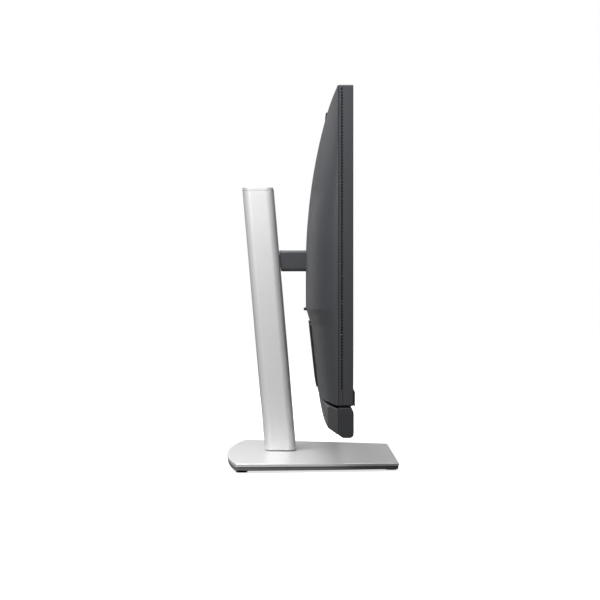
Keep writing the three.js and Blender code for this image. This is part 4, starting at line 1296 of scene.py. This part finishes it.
def dress_kept_nodes():
    """Materials and softly rounded edges for the CAD nodes that keep their own shape."""
    for finish, names in KEPT.items():
        for name in names:
            obj = NODES[name]
            obj.data.materials.clear()
            obj.data.materials.append(MAT[finish])
            soften(obj, 0.25, 40, 2)
            for polygon in obj.data.polygons:
                polygon.use_smooth = True
            obj.data.set_sharp_from_angle(angle=math.radians(32))


# ---------------------------------------------------------------- light, floor and camera

def area_light(name, place_at, aim, size, power, tint=(1, 1, 1)):
    """A soft box aimed at a point."""
    data = bpy.data.lights.new(name, "AREA")
    data.shape = "RECTANGLE"
    data.size, data.size_y = size
    data.energy = power
    data.color = tint
    light = bpy.data.objects.new(name, data)
    bpy.context.scene.collection.objects.link(light)
    light.location = place_at
    direction = Vector(aim) - Vector(place_at)
    light.rotation_euler = direction.to_track_quat("-Z", "Y").to_euler()
    return light


def build_world():
    """White to the camera; a soft studio of bright and dark zones to everything else."""
    world = bpy.data.worlds.new("studio")
    bpy.context.scene.world = world
    world.use_nodes = True
    tree = world.node_tree
    tree.nodes.clear()
    output = node(tree, "ShaderNodeOutputWorld")
    seen = node(tree, "ShaderNodeBackground", Color=(1, 1, 1, 1), Strength=1.0)
    studio = node(tree, "ShaderNodeBackground")
    mix = node(tree, "ShaderNodeMixShader")
    path = node(tree, "ShaderNodeLightPath")
    split = node(tree, "ShaderNodeSeparateXYZ")
    tree.links.new(node(tree, "ShaderNodeTexCoord").outputs["Generated"], split.inputs[0])
    _, y, z = split.outputs
    height = ramp(tree, span(tree, z, 0, 1, -1, 1), STUDIO_HEIGHTS)
    sides = ramp(tree, math_node(tree, "ABSOLUTE", y), STUDIO_SIDES)
    shade_mix = node(tree, "ShaderNodeMix", data_type="RGBA", blend_type="MULTIPLY")
    shade_mix.inputs["Factor"].default_value = 1.0
    colours = [socket for socket in shade_mix.inputs if socket.type == "RGBA"]
    tree.links.new(height, colours[0])
    tree.links.new(sides, colours[1])
    result = [socket for socket in shade_mix.outputs if socket.type == "RGBA"][0]
    tree.links.new(result, studio.inputs["Color"])
    studio.inputs["Strength"].default_value = STUDIO_STRENGTH
    tree.links.new(path.outputs["Is Camera Ray"], mix.inputs[0])
    tree.links.new(studio.outputs[0], mix.inputs[1])
    tree.links.new(seen.outputs[0], mix.inputs[2])
    tree.links.new(mix.outputs[0], output.inputs["Surface"])


STUDIO_STRENGTH = 0.42
STUDIO_HEIGHTS = [(0.0, (0.1, 0.1, 0.1)), (0.46, (0.5, 0.5, 0.5)), (0.6, (0.9, 0.9, 0.9)), (1.0, (1, 1, 1))]
STUDIO_SIDES = [(0.0, (1, 1, 1)), (0.55, (0.9, 0.9, 0.9)), (0.8, (0.3, 0.3, 0.3)), (1.0, (0.15, 0.15, 0.15))]


def build_floor():
    """A wide white floor: white to the camera apart from a faint contact shadow."""
    floor = new_object("floor", [(-4000, -4000, 0), (4000, -4000, 0), (4000, 4000, 0), (-4000, 4000, 0)],
                       [(0, 1, 2, 3)])
    material, tree, shader = new_material("pale_floor", 0.9)
    grain = noise(tree, 40, 3)
    tree.links.new(ramp(tree, grain, [(0.3, (0.80, 0.80, 0.80)), (0.7, (0.82, 0.82, 0.82))]),
                   shader.inputs["Base Color"])
    emission = node(tree, "ShaderNodeEmission", Color=(1, 1, 1, 1), Strength=0.0)
    emission.inputs["Strength"].default_value = FLOOR_GLOW
    path = node(tree, "ShaderNodeLightPath")
    dim = node(tree, "ShaderNodeBsdfDiffuse", Color=(0.12, 0.12, 0.12, 1))
    choice = node(tree, "ShaderNodeMixShader")
    add = node(tree, "ShaderNodeAddShader")
    tree.links.new(shader.outputs[0], add.inputs[0])
    tree.links.new(emission.outputs[0], add.inputs[1])
    tree.links.new(path.outputs["Is Camera Ray"], choice.inputs[0])
    tree.links.new(dim.outputs[0], choice.inputs[1])
    tree.links.new(add.outputs[0], choice.inputs[2])
    tree.links.new(choice.outputs[0], tree.nodes["Material Output"].inputs["Surface"])
    floor.data.materials.append(material)


FLOOR_GLOW = 0.75


def build_camera():
    """Level camera at the side of the monitor."""
    data = bpy.data.cameras.new("camera")
    data.lens = 85
    data.sensor_width = 36
    camera = bpy.data.objects.new("camera", data)
    bpy.context.scene.collection.objects.link(camera)
    camera.location = (-1.686, 0.0120, 0.1906)
    camera.rotation_euler = (math.radians(90), 0, math.radians(-90))
    bpy.context.scene.camera = camera


def build_lights():
    """Soft boxes above and to the rear left of the camera."""
    area_light("key_softbox", (-0.6, 0.32, 0.78), (0, 0, 0.28), (0.5, 0.5), 9.6)
    area_light("top_softbox", (0.1, 0.15, 1.6), (0, 0, 0.2), (1.6, 1.2), 26)


# ---------------------------------------------------------------- scene

build_base()
build_column()
build_arm()
build_rear_cover()
build_front_frame()
build_chin()
build_bar_front()
build_bar_housing()
build_webcam()
build_buttons()
dress_kept_nodes()
build_world()
build_floor()
build_lights()
build_camera()
bpy.context.scene.view_settings.view_transform = "Standard"
